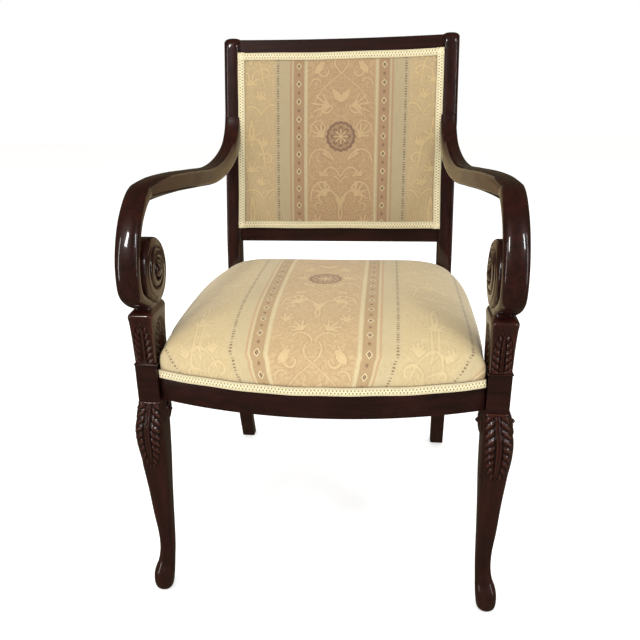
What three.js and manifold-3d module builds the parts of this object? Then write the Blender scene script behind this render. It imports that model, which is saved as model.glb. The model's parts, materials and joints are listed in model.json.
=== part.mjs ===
// A carved open armchair: glossy dark hardwood frame with an upholstered seat and back.
// Millimetres. +X is the right side seen from the front, +Y runs to the back, +Z is up.
// The frame is dimensioned from the front face of the leg blocks at y = FRONT, and the whole
// chair is centred over its own footprint at the end.
import * as THREE from 'three';
import { mergeVertices } from 'three/addons/utils/BufferGeometryUtils.js';
import Module from 'manifold-3d';

const wasm = await Module();
wasm.setup();

// ---------- driving dimensions ----------
const FIT = 0.3;                 // clearance between neighbouring pieces
const HALF_WIDTH = 281.5;        // centre line to the outer face of a front leg block
const FRONT = -250;              // y of the front face of the leg blocks
const SEAT_DEPTH = 438;          // front block face to the middle of the rear legs at seat level
const RAIL_BOTTOM = 361;
const RAIL_HEIGHT = 53;
const RAIL_THICK = 26;
const BLOCK_WIDTH = 37;
const BLOCK_DEPTH = 55;
const BLOCK_RISE = 10;           // the leg block stands this much above the seat rails
const HEEL_WIDTH = 21;           // hidden inner part of the leg block that carries the side rail
const HEEL_DEPTH = 19;
const FRONT_BOW = 45;            // how far the front rail curves forward of its ends
const SEAT_INSET = 31.5;         // the seat's widest place lies this far inside the leg blocks' faces
const TENON = 16;
const SUPPORT_HEIGHT = 78;       // arm support, from block top to its front lip
const SUPPORT_DEPTH = 68;
const ARM_LEVEL = 667;           // height of the arm's centre line between post and shoulder
const ARM_WIDTH = 36;
const ARM_THICK = 30;            // along the bar, from top to underside
const SCROLL_THICK = 21;         // of the band that turns into the scroll
const ARM_INSET = 14;            // arm centre lines at the front, inside the leg blocks' outer faces
const SCROLL_RADIUS = 54;        // underside of the scroll to its eye
const SCROLL_SETBACK = 47;       // the scroll's eye behind the front face of the leg blocks
const VOLUTE_PROUD = 3;          // the roll stands this far inside the band
const POST_WIDTH = 32;
const LOWER_POST_WIDTH = 29;     // below the arms
const POST_DEPTH = 30;
const POST_INSET = 70;           // middle of a back post at seat level, inside the blocks' outer faces
const POST_TAPER = 4.5;          // the posts close in by this much from the seat to the crest
const FOOT_SPLAY = 14;           // and the rear feet stand out by this much from seat level
const FOOT_SWEEP = 110;          // how far the rear foot stands behind the leg at seat level
const FOOT_DEPTH = 26;
const BACK_HEIGHT = 884;         // top of the crest rail
const POST_NIB = 6;              // the posts' round ends stand above the crest rail
const BACK_RAKE = 9.9;           // degrees
const CREST_HEIGHT = 48;
const CREST_DIP = 2.5;           // the top edge is this much lower in the middle
const PANEL_LAP = 4;             // the upholstered panel laps this far over each post, in a rebate
const BACK_GAP = 94;             // from the seat rails' top to the bottom of the lower back rail
const LOWER_RAIL_HEIGHT = 40;
const BACK_RAIL_THICK = 20;
const SEAT_CROWN = 83;           // from the rails' top to the top of the seat
const COVER_THICK = 1.2;
const GIMP_WIDTH = 14;
const GIMP_THICK = 2.4;
const SCREW_RADIUS = 2.2;
const DOWEL_RADIUS = 5;

// ---------- derived places ----------
const RAIL_TOP = RAIL_BOTTOM + RAIL_HEIGHT;
const BLOCK_TOP = RAIL_TOP + BLOCK_RISE;
const BLOCK_INNER = HALF_WIDTH - BLOCK_WIDTH;
const BLOCK_REAR = FRONT + BLOCK_DEPTH;
const REAR_LEG_Y = FRONT + SEAT_DEPTH;
const SHOW_TOP = RAIL_TOP - GIMP_WIDTH;              // top edge of the bare wood on the rails
const LOWER_RAIL_BOTTOM = RAIL_TOP + BACK_GAP;
const SEAT_HALF = HALF_WIDTH - SEAT_INSET;
const ARM_SPREAD = HALF_WIDTH - ARM_INSET;
const SEAT_POST_HALF = HALF_WIDTH - POST_INSET;
const POST_HALF = SEAT_POST_HALF - POST_TAPER;
const FOOT_HALF = SEAT_POST_HALF + FOOT_SPLAY;
const RAKE = THREE.MathUtils.degToRad(BACK_RAKE);
const POST_TOP = BACK_HEIGHT + POST_NIB;
const REBATE = COVER_THICK + 2 * FIT;

// ---------- helpers ----------
const materials = {
  wood: { color: 0x2a1210, roughness: 0.22, metalness: 0 },
  beech: { color: 0xb48a5a, roughness: 0.6, metalness: 0 },
  steel: { color: 0x9a9a96, roughness: 0.35, metalness: 1 },
  webbing: { color: 0x8a7a58, roughness: 0.9, metalness: 0 },
  hessian: { color: 0xa58a5e, roughness: 0.95, metalness: 0 },
  foam: { color: 0xe8dcb0, roughness: 0.9, metalness: 0 },
  seatFabric: { color: 0xd8c090, roughness: 0.85, metalness: 0 },
  backFabric: { color: 0xc9ad82, roughness: 0.85, metalness: 0 },
  gimp: { color: 0xe8dfbe, roughness: 0.8, metalness: 0 },
  lining: { color: 0x1c1a18, roughness: 0.95, metalness: 0 },
};
const chair = new THREE.Group();
const sides = [['left', -1], ['right', 1]];

function add(name, shape, material) {
  const geometry = shape.isBufferGeometry ? shape : toGeometry(shape);
  const mesh = new THREE.Mesh(geometry, new THREE.MeshStandardMaterial(materials[material]));
  mesh.name = name;
  chair.add(mesh);
  return mesh;
}

function toSolid(geometry) {
  const bare = geometry.clone();
  bare.deleteAttribute('normal');
  bare.deleteAttribute('uv');
  const merged = mergeVertices(bare, 1e-3);
  return new wasm.Manifold(new wasm.Mesh({
    numProp: 3,
    vertProperties: new Float32Array(merged.attributes.position.array),
    triVerts: new Uint32Array(merged.index.array),
  }));
}

function toGeometry(solid) {
  const mesh = solid.getMesh();
  const geometry = new THREE.BufferGeometry();
  geometry.setAttribute('position', new THREE.BufferAttribute(new Float32Array(mesh.vertProperties), 3));
  geometry.setIndex(new THREE.BufferAttribute(new Uint32Array(mesh.triVerts), 1));
  geometry.computeVertexNormals();
  return geometry;
}

// A closed solid through rings of points that all have the same count and turn the same way.
function loft(rings) {
  const count = rings[0].length;
  const points = rings.flat();
  const faces = [];
  const middle = (ring) => ring.reduce((sum, p) => sum.add(p), new THREE.Vector3()).divideScalar(count);
  points.push(middle(rings[0]), middle(rings.at(-1)));
  for (let i = 0; i + 1 < rings.length; i++) {
    for (let j = 0; j < count; j++) {
      const a = i * count + j;
      const b = i * count + ((j + 1) % count);
      faces.push(a, b, b + count, a, b + count, a + count);
    }
  }
  const last = (rings.length - 1) * count;
  for (let j = 0; j < count; j++) {
    const next = (j + 1) % count;
    faces.push(points.length - 2, next, j, points.length - 1, last + j, last + next);
  }
  const geometry = new THREE.BufferGeometry().setFromPoints(points);
  geometry.setIndex(faces);
  geometry.computeVertexNormals();
  return geometry;
}

// A level ring between four straight limits; power 2 is an ellipse, higher is squarer.
function levelRing(z, inner, outer, front, back, power, count = 20) {
  const ring = [];
  for (let j = 0; j < count; j++) {
    const angle = (2 * Math.PI * (j + 0.5)) / count;
    const c = Math.cos(angle);
    const s = Math.sin(angle);
    const x = Math.sign(c) * Math.abs(c) ** (2 / power);
    const y = Math.sign(s) * Math.abs(s) ** (2 / power);
    ring.push(new THREE.Vector3(
      (inner + outer) / 2 + (x * (outer - inner)) / 2,
      (front + back) / 2 + (y * (back - front)) / 2,
      z,
    ));
  }
  return ring;
}

function block(x0, x1, y0, y1, z0, z1, grow = 0) {
  const geometry = new THREE.BoxGeometry(x1 - x0 + 2 * grow, y1 - y0 + 2 * grow, z1 - z0 + 2 * grow);
  geometry.translate((x0 + x1) / 2, (y0 + y1) / 2, (z0 + z1) / 2);
  return toSolid(geometry);
}

// A round bar from one point to another.
function bar(from, to, radius, count = 16) {
  const axis = to.clone().sub(from);
  const geometry = new THREE.CylinderGeometry(radius, radius, axis.length(), count);
  geometry.applyQuaternion(new THREE.Quaternion().setFromUnitVectors(
    new THREE.Vector3(0, 1, 0), axis.clone().normalize(),
  ));
  geometry.translate(...from.clone().add(to).multiplyScalar(0.5).toArray());
  return toSolid(geometry);
}

// An outline in plan, raised from z0 to z1.
function plate(outline, z0, z1) {
  const shape = new THREE.Shape(outline);
  const geometry = new THREE.ExtrudeGeometry(shape, { depth: z1 - z0, bevelEnabled: false });
  geometry.translate(0, 0, z0);
  return toSolid(geometry);
}

function mirrored(solid, side) {
  return side < 0 ? solid.mirror([1, 0, 0]) : solid;
}

function point3(place) {
  return new THREE.Vector3(...place);
}

// ---------- plan of the seat ----------
const BOW_RADIUS = (BLOCK_INNER ** 2 + FRONT_BOW ** 2) / (2 * FRONT_BOW);
const BOW_END = FRONT + 9;                 // the bowed face meets the block behind its front face
const bowY = (x) => BOW_END - FRONT_BOW + BOW_RADIUS - Math.sqrt(BOW_RADIUS ** 2 - x * x);
const WIDEST_Y = FRONT + 200;
const SIDE_FOOT = REAR_LEG_Y - 14;         // where the side rail's curve reaches the rear leg's face
const POST_OUTER_AT_SEAT = SEAT_POST_HALF + LOWER_POST_WIDTH / 2;
function sideX(y) {
  if (y < WIDEST_Y) {
    return SEAT_HALF - 5 * ((WIDEST_Y - y) / 150) ** 2;
  }
  const share = (y - WIDEST_Y) / (SIDE_FOOT - WIDEST_Y);
  return SEAT_HALF - (SEAT_HALF - POST_OUTER_AT_SEAT + 2) * share ** 3;
}
const SEAT_REAR = REAR_LEG_Y + 12;

// The seat's plan outline moved inward by inset, anticlockwise from the front left corner.
const SIDE_STEPS = 16;                     // enough that straight steps stay within the clearances
function seatOutline(inset, steps = 10) {
  const right = [];
  const corner = BLOCK_INNER - FIT - inset;
  for (let i = 0; i <= steps; i++) {
    const x = (corner * i) / steps;
    right.push([x, bowY(x) + inset]);
  }
  const start = bowY(corner) + inset;
  for (let i = 1; i <= SIDE_STEPS; i++) {
    const y = start + ((SEAT_REAR - inset - start) * i) / SIDE_STEPS;
    right.push([sideX(y) - inset, y]);
  }
  const left = right.slice(1).reverse().map(([x, y]) => [-x, y]);
  return [...left, ...right].map(([x, y]) => new THREE.Vector2(x, y));
}

// ---------- rear legs, one piece with the back posts ----------
const rearLine = new THREE.CatmullRomCurve3([
  point3([0, REAR_LEG_Y + FOOT_SWEEP, 0]),
  point3([0, REAR_LEG_Y + 0.69 * FOOT_SWEEP, 0.2 * RAIL_BOTTOM]),
  point3([0, REAR_LEG_Y + 0.31 * FOOT_SWEEP, 0.5 * RAIL_BOTTOM]),
  point3([0, REAR_LEG_Y + 0.05 * FOOT_SWEEP, 0.85 * RAIL_BOTTOM]),
  point3([0, REAR_LEG_Y, RAIL_TOP]),
  point3([0, REAR_LEG_Y + 6, LOWER_RAIL_BOTTOM]),
]);
// Middle of the rear leg in the front to back direction at a height.
function postY(z) {
  if (z >= LOWER_RAIL_BOTTOM) {
    return REAR_LEG_Y + 6 + (z - LOWER_RAIL_BOTTOM) * Math.tan(RAKE);
  }
  let low = 0;
  let high = 1;
  for (let i = 0; i < 30; i++) {
    const half = (low + high) / 2;
    if (rearLine.getPoint(half).z < z) low = half;
    else high = half;
  }
  return rearLine.getPoint(low).y;
}
// Middle of the post across the chair, closing in towards the top.
function postX(z) {
  if (z < RAIL_TOP) {
    return THREE.MathUtils.lerp(FOOT_HALF, SEAT_POST_HALF, z / RAIL_TOP);
  }
  const share = Math.min(1, (z - RAIL_TOP) / (BACK_HEIGHT - RAIL_TOP));
  return THREE.MathUtils.lerp(SEAT_POST_HALF, POST_HALF, share);
}
const PLAIN_TOP = ARM_LEVEL + 48;         // above this the post is fuller
const postWidth = (z) => (z > PLAIN_TOP ? POST_WIDTH : LOWER_POST_WIDTH);

function rearLegShape(grow = 0) {
  const shares = [0, 0.05, 0.14, 0.24, 0.35, 0.47, 0.59, 0.68, 0.76, 0.85, 0.925, 1];
  const heights = shares.map((share) => share * LOWER_RAIL_BOTTOM);
  for (let i = 1; i <= 5; i++) {
    heights.push(LOWER_RAIL_BOTTOM + ((PLAIN_TOP - LOWER_RAIL_BOTTOM) * i) / 5);
  }
  heights.push(PLAIN_TOP + 25);
  for (const share of [0.65, 0.93, 0.98]) {
    heights.push(THREE.MathUtils.lerp(PLAIN_TOP, BACK_HEIGHT, share));
  }
  const rings = heights.map((z) => {
    const half = postWidth(z) / 2 + grow;
    const floorward = Math.max(0, 1 - z / RAIL_BOTTOM);
    const fuller = z > PLAIN_TOP ? 3 : 0;
    const deep = THREE.MathUtils.lerp(POST_DEPTH, FOOT_DEPTH, floorward) / 2 + fuller + grow;
    const y = postY(z);
    const x = postX(z);
    return levelRing(z, x - half, x + half, y - deep, y + deep, 7, 16);
  });
  const y = postY(BACK_HEIGHT);
  const x = postX(BACK_HEIGHT);
  for (const [rise, share] of [[0.5, 0.9], [1, 0.62]]) {
    const half = (POST_WIDTH / 2) * share + grow;
    rings.push(levelRing(BACK_HEIGHT + POST_NIB * rise, x - half, x + half, y - half, y + half, 4, 16));
  }
  return toSolid(loft(rings));
}

// ---------- front legs: cabriole leg, knee and square block ----------
function frontLegShape() {
  const knee = RAIL_BOTTOM - 1;
  // height share of the knee, then outer and inner faces from the block's outer face,
  // then front and back faces from its front face, then squareness
  const stations = [
    [0, 2, -20, -6, 18, 2.2], [0.02, 5.5, -24, -12, 20, 2.3], [0.06, 6.5, -26.5, -16, 23, 2.4],
    [0.105, 5, -28, -13, 25, 2.5], [0.15, -1, -28.5, -3, 26, 2.6], [0.21, -4.5, -29.5, 3, 29, 2.8],
    [0.29, -4.5, -30.5, 5, 31, 3], [0.41, -1, -32, 2, 34, 3.2], [0.55, 1.5, -34, -3, 37, 3.4],
    [0.69, 5.5, -36.5, -9, 42, 3.4], [0.8, 9.5, -37.5, -14, 46, 3.6], [0.88, 9, -37.5, -14, 49, 4],
    [0.94, 4, -37.5, -7, 51, 5], [1, 0, -37, -1, 52, 7],
  ];
  const rings = stations.map(([share, outer, inner, front, back, power]) => levelRing(
    share * knee, HALF_WIDTH + inner, HALF_WIDTH + outer, FRONT + front, FRONT + back, power,
  ));
  const leg = toSolid(loft(rings));
  const square = block(BLOCK_INNER, HALF_WIDTH, FRONT, BLOCK_REAR, knee - 2, BLOCK_TOP);
  const heel = block(
    BLOCK_INNER - HEEL_WIDTH, BLOCK_INNER + 1, BLOCK_REAR - HEEL_DEPTH, BLOCK_REAR,
    knee - 2, RAIL_TOP - FIT,
  );
  return leg.add(square).add(heel);
}

// ---------- arm ----------
const SUPPORT_TOP = BLOCK_TOP + SUPPORT_HEIGHT;
const EYE_Y = FRONT + SCROLL_SETBACK;
const EYE_Z = SUPPORT_TOP + 6 + SCROLL_RADIUS;
const ARM_JOINT = ARM_LEVEL + 38;         // height of the joint with the post

const VOLUTE_CLOSING = 6;                 // the roll's radius shrinks by this much in its one turn

function armLine() {
  const jointY = postY(ARM_JOINT) - POST_DEPTH / 2;
  const reach = jointY - EYE_Y;
  const points = [
    point3([0, jointY + 12, ARM_LEVEL + 76]), point3([0, jointY + 2, ARM_LEVEL + 55]),
    point3([0, EYE_Y + 0.95 * reach, ARM_LEVEL + 27]), point3([0, EYE_Y + 0.87 * reach, ARM_LEVEL + 9]),
    point3([0, EYE_Y + 0.77 * reach, ARM_LEVEL - 3]), point3([0, EYE_Y + 0.65 * reach, ARM_LEVEL - 8]),
    point3([0, EYE_Y + 0.49 * reach, ARM_LEVEL - 3]), point3([0, EYE_Y + 0.28 * reach, ARM_LEVEL + 4]),
    point3([0, EYE_Y + 0.12 * reach, ARM_LEVEL + 5]), point3([0, EYE_Y + 0.03 * reach, ARM_LEVEL]),
  ];
  // Turns about the eye. Down the shoulder: degrees, and how far from the scroll's band to the
  // arm's own level. Round the scroll: degrees, and a share of the scroll's radius.
  const shoulder = [[103, 0.6], [118, 0.36], [138, 0.14], [162, 0.02]];
  const scroll = [[195, 1.15], [212, 1.05], [232, 0.94], [250, 0.9], [270, 0.81], [300, 0.72]];
  const band = scroll[0][1] * SCROLL_RADIUS;
  const level = ARM_LEVEL - EYE_Z;
  const turns = [
    ...shoulder.map(([degrees, share]) => [degrees, THREE.MathUtils.lerp(band, level, share)]),
    ...scroll.map(([degrees, share]) => [degrees, share * SCROLL_RADIUS]),
  ];
  for (const [degrees, radius] of turns) {
    const angle = THREE.MathUtils.degToRad(degrees);
    points.push(point3([0, EYE_Y + radius * Math.cos(angle), EYE_Z + radius * Math.sin(angle)]));
  }
  return new THREE.CatmullRomCurve3(points, false, 'centripetal');
}

function armX(y) {
  const rear = postY(ARM_JOINT) - POST_DEPTH / 2;
  const start = FRONT + 75;
  const share = THREE.MathUtils.clamp((y - start) / (rear - start), 0, 1);
  return ARM_SPREAD - (ARM_SPREAD - postX(ARM_JOINT) + 1) * (1 - (1 - share) ** 1.25);
}

function armShape(grow = 0) {
  const line = armLine();
  const steps = 44;
  const count = 16;
  const rings = [];
  for (let i = 0; i <= steps; i++) {
    const share = i / steps;
    const point = line.getPointAt(share);
    const before = line.getPointAt(Math.max(0, share - 0.01));
    const after = line.getPointAt(Math.min(1, share + 0.01));
    before.x = armX(before.y);
    after.x = armX(after.y);
    point.x = armX(point.y);
    const along = after.sub(before).normalize();
    const slope = (armX(point.y - 1) - armX(point.y + 1)) / 2;
    const across = new THREE.Vector3(1, slope, 0).normalize();
    const up = new THREE.Vector3().crossVectors(along, across).normalize();
    const spread = Math.min(1, share / 0.35);
    const width = THREE.MathUtils.lerp(POST_WIDTH - 2, ARM_WIDTH, spread) / 2 + grow;
    const turned = THREE.MathUtils.smoothstep(share, 0.56, 0.76);
    const leaner = 3 * Math.max(0, 1 - share / 0.15);
    const thick = (THREE.MathUtils.lerp(ARM_THICK, SCROLL_THICK, turned) - leaner) / 2 + grow;
    const ring = [];
    for (let j = 0; j < count; j++) {
      const angle = (2 * Math.PI * (j + 0.5)) / count;
      const c = Math.cos(angle);
      const s = Math.sin(angle);
      const power = 2 / (3.6 - turned);
      ring.push(point.clone()
        .addScaledVector(across, Math.sign(c) * Math.abs(c) ** power * width)
        .addScaledVector(up, Math.sign(s) * Math.abs(s) ** power * thick));
    }
    rings.push(ring);
  }
  const band = toSolid(loft(rings));
  const outline = [];
  for (let degrees = 270; degrees < 630; degrees += 15) {
    const radius = SCROLL_RADIUS - 1 + grow - (VOLUTE_CLOSING * (degrees - 270)) / 360;
    const angle = THREE.MathUtils.degToRad(degrees);
    outline.push(new THREE.Vector2(radius * Math.cos(angle), radius * Math.sin(angle)));
  }
  const inside = ARM_SPREAD - ARM_WIDTH / 2 - VOLUTE_PROUD;
  const roll = new THREE.ExtrudeGeometry(
    new THREE.Shape(outline), { depth: ARM_WIDTH + 2 * grow, bevelEnabled: false },
  );
  // the outline's x and y become the chair's y and z, and its depth becomes x
  roll.applyMatrix4(new THREE.Matrix4().set(
    0, 0, 1, inside - grow, 1, 0, 0, EYE_Y, 0, 1, 0, EYE_Z, 0, 0, 0, 1,
  ));
  let arm = band.add(toSolid(roll));
  // the inner turn and the button at its middle: shares of the scroll's radius, and height
  for (const [top, foot, proud] of [[0.56, 0.67, 5], [0.19, 0.24, 10]]) {
    const depth = proud + 4;
    const cap = new THREE.CylinderGeometry(
      top * SCROLL_RADIUS + grow, foot * SCROLL_RADIUS + grow, depth, 24,
    );
    cap.rotateZ(Math.PI / 2);
    cap.translate(inside - proud + depth / 2, EYE_Y, EYE_Z);
    arm = arm.add(toSolid(cap));
  }
  return arm;
}

// ---------- arm support ----------
function supportShape() {
  const base = BLOCK_TOP + FIT;
  const top = SUPPORT_TOP + 14;
  const centre = (BLOCK_INNER + HALF_WIDTH) / 2;
  const back = FRONT + SUPPORT_DEPTH;
  const half = BLOCK_WIDTH / 2;
  const waist = base + 0.45 * SUPPORT_HEIGHT;
  const rings = [
    levelRing(base, centre - half + 2, centre + half - 3, FRONT + 1.5, back - 3, 8),
    levelRing(waist, centre - half + 1.5, centre + half - 1.5, FRONT + 1, back - 1, 8),
    levelRing(SUPPORT_TOP - 4, centre - half + 0.5, centre + half + 0.5, FRONT - 1, back + 3, 8),
    levelRing(SUPPORT_TOP + 3, centre - half + 0.5, centre + half, FRONT, back + 4, 8),
    levelRing(top, centre - half + 4, centre + half - 6, FRONT + 12, back + 1, 8),
  ];
  return toSolid(loft(rings));
}

// ---------- build the frame ----------
const legs = {};
const posts = {};
const arms = {};
const supports = {};
for (const [name, side] of sides) {
  legs[name] = mirrored(frontLegShape(), side);
  posts[name] = mirrored(rearLegShape(), side);
  supports[name] = mirrored(supportShape().subtract(armShape(FIT)), side);
  arms[name] = mirrored(armShape().subtract(rearLegShape(FIT)), side);
}

// Bowed front rail with a stub tenon at each end.
function frontRail() {
  const steps = 16;
  const reach = BLOCK_INNER - FIT;
  const band = (inset, z0, z1) => {
    const face = [];
    const rear = [];
    const half = reach - inset;
    for (let i = 0; i <= steps; i++) {
      const x = -half + (2 * half * i) / steps;
      face.push(new THREE.Vector2(x, bowY(x) + inset));
      rear.unshift(new THREE.Vector2(x, bowY(x) + RAIL_THICK));
    }
    return plate([...face, ...rear], z0, z1);
  };
  const middle = block(-reach + 10, reach - 10, FRONT - 200, FRONT + 200, 0, BLOCK_TOP);
  const rail = band(0, RAIL_BOTTOM, SHOW_TOP).add(band(REBATE, SHOW_TOP - 1, RAIL_TOP));
  return rail.add(frontTenon(0).subtract(middle));
}

function frontTenon(grow) {
  const y = BOW_END + RAIL_THICK / 2;
  const reach = BLOCK_INNER + TENON;
  return block(-reach, reach, y - 5, y + 5, RAIL_BOTTOM + 8, RAIL_TOP - 12, grow);
}

// Curved side rail, tenoned into the heel of the front block and into the rear leg.
const HEEL_X = BLOCK_INNER - HEEL_WIDTH / 2;
const SIDE_PROUD = 0.5;                    // bare side rails stand this much outside the cover
const REAR_FACE = (z) => postY(z) - POST_DEPTH / 2;
const SIDE_END = REAR_FACE(RAIL_BOTTOM + RAIL_HEIGHT / 2) + 6;
function sideRail() {
  const start = BLOCK_REAR + FIT;
  const band = (inset, z0, z1) => {
    const face = [];
    const rear = [];
    for (let i = 0; i <= SIDE_STEPS; i++) {
      const y = start + ((SIDE_END - start) * i) / SIDE_STEPS;
      face.push(new THREE.Vector2(sideX(y) + SIDE_PROUD * (inset ? 0 : 1) - inset, y));
      rear.unshift(new THREE.Vector2(sideX(y) - RAIL_THICK, y));
    }
    return plate([...face, ...rear], z0, z1);
  };
  const rail = band(0, RAIL_BOTTOM, SHOW_TOP).add(band(REBATE, SHOW_TOP - 1, RAIL_TOP));
  return rail.subtract(rearLegShape(FIT)).add(sideTenonFront(0)).add(sideTenonBack(0));
}

function sideTenonFront(grow) {
  const start = BLOCK_REAR - TENON;
  return block(HEEL_X - 5, HEEL_X + 5, start, BLOCK_REAR + 10, RAIL_BOTTOM + 8, RAIL_TOP - 12, grow);
}

function sideTenonBack(grow) {
  const x = postX(RAIL_TOP) + 2;
  const end = REAR_FACE(RAIL_TOP) + TENON - 3;
  return block(x - 4, x + 4, end - 30, end, RAIL_BOTTOM + 8, RAIL_TOP - 12, grow);
}

function rearRail() {
  const inner = backInner(RAIL_TOP);
  const y = postY(RAIL_BOTTOM + RAIL_HEIGHT / 2);
  const body = block(-inner - 4, inner + 4, SIDE_END + FIT, y + 10, RAIL_BOTTOM, RAIL_TOP).subtract(
    rearLegShape(FIT).add(mirrored(rearLegShape(FIT), -1)),
  );
  return body.add(rearTenon(0));
}

// Sits behind the end of the side rail's tenon in the rear leg.
function rearTenon(grow) {
  const reach = backInner(RAIL_TOP) + TENON;
  const y = postY(RAIL_BOTTOM + RAIL_HEIGHT / 2) + 4;
  return block(-reach, reach, y - 3, y + 3, RAIL_BOTTOM + 8, RAIL_TOP - 12, grow);
}

// Pieces of the back are made upright and tilted about the foot of the raked stretch.
const PIVOT_Y = REAR_LEG_Y + 6;
function tilt(solid) {
  return solid.translate([0, -PIVOT_Y, -LOWER_RAIL_BOTTOM])
    .rotate([-BACK_RAKE, 0, 0])
    .translate([0, PIVOT_Y, LOWER_RAIL_BOTTOM]);
}
const raked = (z) => LOWER_RAIL_BOTTOM + (z - LOWER_RAIL_BOTTOM) / Math.cos(RAKE);
const backInner = (z) => postX(z) - postWidth(z) / 2;
const BACK_TOP = raked(BACK_HEIGHT);
const PANEL_TOP = BACK_TOP - 25;
const PANEL_BOTTOM = LOWER_RAIL_BOTTOM + LOWER_RAIL_HEIGHT - 14;
const PANEL_FRONT = PIVOT_Y - BACK_RAIL_THICK / 2;

// An outline seen from the front, as [x, z], given a thickness from front to back.
function uprightPlate(outline, front, back) {
  const shape = new THREE.Shape(outline.map(([x, z]) => new THREE.Vector2(x, z)));
  const geometry = new THREE.ExtrudeGeometry(shape, { depth: back - front, bevelEnabled: false });
  geometry.rotateX(Math.PI / 2);
  geometry.translate(0, back, 0);
  return toSolid(geometry);
}

// The upper edge of a panel or rail, from right to left, lower in the middle by CREST_DIP.
function dippedEdge(half, z) {
  const edge = [];
  for (let i = 0; i <= 8; i++) {
    const share = 1 - i / 4;
    edge.push([half * share, z - CREST_DIP * (1 - share * share)]);
  }
  return edge;
}

const LIP = PIVOT_Y - POST_DEPTH / 2 - 1;            // front of the panel's edge, under its braid
const panelHalf = backInner(LOWER_RAIL_BOTTOM) + PANEL_LAP - 1;
const panelHalfTop = backInner(BACK_HEIGHT) + PANEL_LAP;
function panelOutline(inset) {
  const foot = panelHalf - inset;
  return [
    [-foot, PANEL_BOTTOM + inset], [foot, PANEL_BOTTOM + inset],
    ...dippedEdge(panelHalfTop - inset, PANEL_TOP - inset),
  ];
}
const backPanel = (front, back, inset) => uprightPlate(panelOutline(inset), front, back);

function crossRail(bottom, top, carriesPanelAbove) {
  const span = backInner(LOWER_RAIL_BOTTOM) + 4;
  const postsCut = rearLegShape(FIT).add(mirrored(rearLegShape(FIT), -1));
  const upper = carriesPanelAbove ? [[span, top], [-span, top]] : dippedEdge(span, top);
  const outline = [[-span, bottom], [span, bottom], ...upper];
  const whole = uprightPlate(outline, PANEL_FRONT, PANEL_FRONT + BACK_RAIL_THICK);
  const rebate = backPanel(PANEL_FRONT - 1, PANEL_FRONT + 5, -FIT);
  return tilt(whole.subtract(rebate)).subtract(postsCut).add(crossTenon(bottom, top, 0));
}

function crossTenon(bottom, top, grow) {
  const middle = (bottom + top) / 2;
  const reach = backInner(LOWER_RAIL_BOTTOM) + TENON;
  return tilt(block(-reach, reach, PIVOT_Y - 3, PIVOT_Y + 3, middle - 9, middle + 9, grow));
}

const CREST = [BACK_TOP - CREST_HEIGHT, BACK_TOP];
const LOWER = [LOWER_RAIL_BOTTOM, LOWER_RAIL_BOTTOM + LOWER_RAIL_HEIGHT];
const rails = {
  front_seat_rail: frontRail(),
  side_seat_rail_left: mirrored(sideRail(), -1),
  side_seat_rail_right: sideRail(),
  rear_seat_rail: rearRail(),
  crest_rail: crossRail(...CREST, false),
  lower_back_rail: crossRail(...LOWER, true),
};

// ---------- fastenings ----------
// A wood screw whose head lies at start and whose tip is at end.
function screw(start, end, radius = SCREW_RADIUS) {
  const length = start.distanceTo(end);
  const profile = [
    [0, 0], [0.1 * radius, 0], [radius, 4], [radius, length - 4], [2 * radius, length - 0.8],
    [2 * radius, length], [0, length],
  ].map(([r, h]) => new THREE.Vector2(r, h));
  const geometry = new THREE.LatheGeometry(profile, 10);
  geometry.applyQuaternion(new THREE.Quaternion().setFromUnitVectors(
    new THREE.Vector3(0, 1, 0), start.clone().sub(end).normalize(),
  ));
  geometry.translate(...end.toArray());
  return toSolid(geometry);
}

// A screw through each post into the arm, under a plug.
const SINK = 8;                           // its head lies this deep in the post
const PLUG_RADIUS = 5;
const plugY = postY(ARM_JOINT) + POST_DEPTH / 2;
const screwX = postX(ARM_JOINT);
const atScrew = (y) => point3([screwX, y, ARM_JOINT]);
const centre = (BLOCK_INNER + HALF_WIDTH) / 2;
const dowelY = FRONT + BLOCK_DEPTH / 2;
for (const [name, side] of sides) {
  const head = atScrew(plugY - SINK);
  const tip = atScrew(plugY - POST_DEPTH - 16);
  const plugHole = bar(atScrew(plugY + 20), head, PLUG_RADIUS + FIT, 20);
  const screwHole = plugHole.add(
    screw(atScrew(head.y + FIT), atScrew(tip.y - 1), SCREW_RADIUS + FIT),
  );
  add(`arm_screw_${name}`, mirrored(screw(head, tip), side), 'steel');
  const plug = bar(atScrew(plugY - 1), atScrew(head.y + FIT), PLUG_RADIUS, 20);
  add(`screw_plug_${name}`, mirrored(plug, side), 'wood');

  // dowels from the leg block into the support, and from the support into the scroll
  const low = point3([centre, dowelY, RAIL_TOP - 9]);
  const high = point3([centre, dowelY, BLOCK_TOP + 30]);
  add(`support_dowel_${name}`, mirrored(bar(low, high, DOWEL_RADIUS), side), 'beech');
  const lowHole = bar(low.clone().setZ(low.z - 1), high.clone().setZ(high.z + 1), DOWEL_RADIUS + FIT);
  const foot = point3([centre, EYE_Y, SUPPORT_TOP - 32]);
  const peak = point3([centre, EYE_Y, EYE_Z - 14]);
  add(`arm_dowel_${name}`, mirrored(bar(foot, peak, DOWEL_RADIUS), side), 'beech');
  const highHole = bar(foot.clone().setZ(foot.z - 1), peak.clone().setZ(peak.z + 1), DOWEL_RADIUS + FIT);

  legs[name] = legs[name].subtract(mirrored(lowHole, side))
    .subtract(frontTenon(FIT)).subtract(mirrored(sideTenonFront(FIT), side));
  supports[name] = supports[name].subtract(mirrored(lowHole.add(highHole), side));
  const panelRoom = tilt(backPanel(LIP - 20, PANEL_FRONT + 5, -FIT));
  arms[name] = arms[name].subtract(mirrored(highHole.add(screwHole), side)).subtract(panelRoom);
  posts[name] = posts[name].subtract(panelRoom)
    .subtract(mirrored(screwHole.add(sideTenonBack(FIT)), side))
    .subtract(rearTenon(FIT)).subtract(crossTenon(...CREST, FIT)).subtract(crossTenon(...LOWER, FIT));
}

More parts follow.
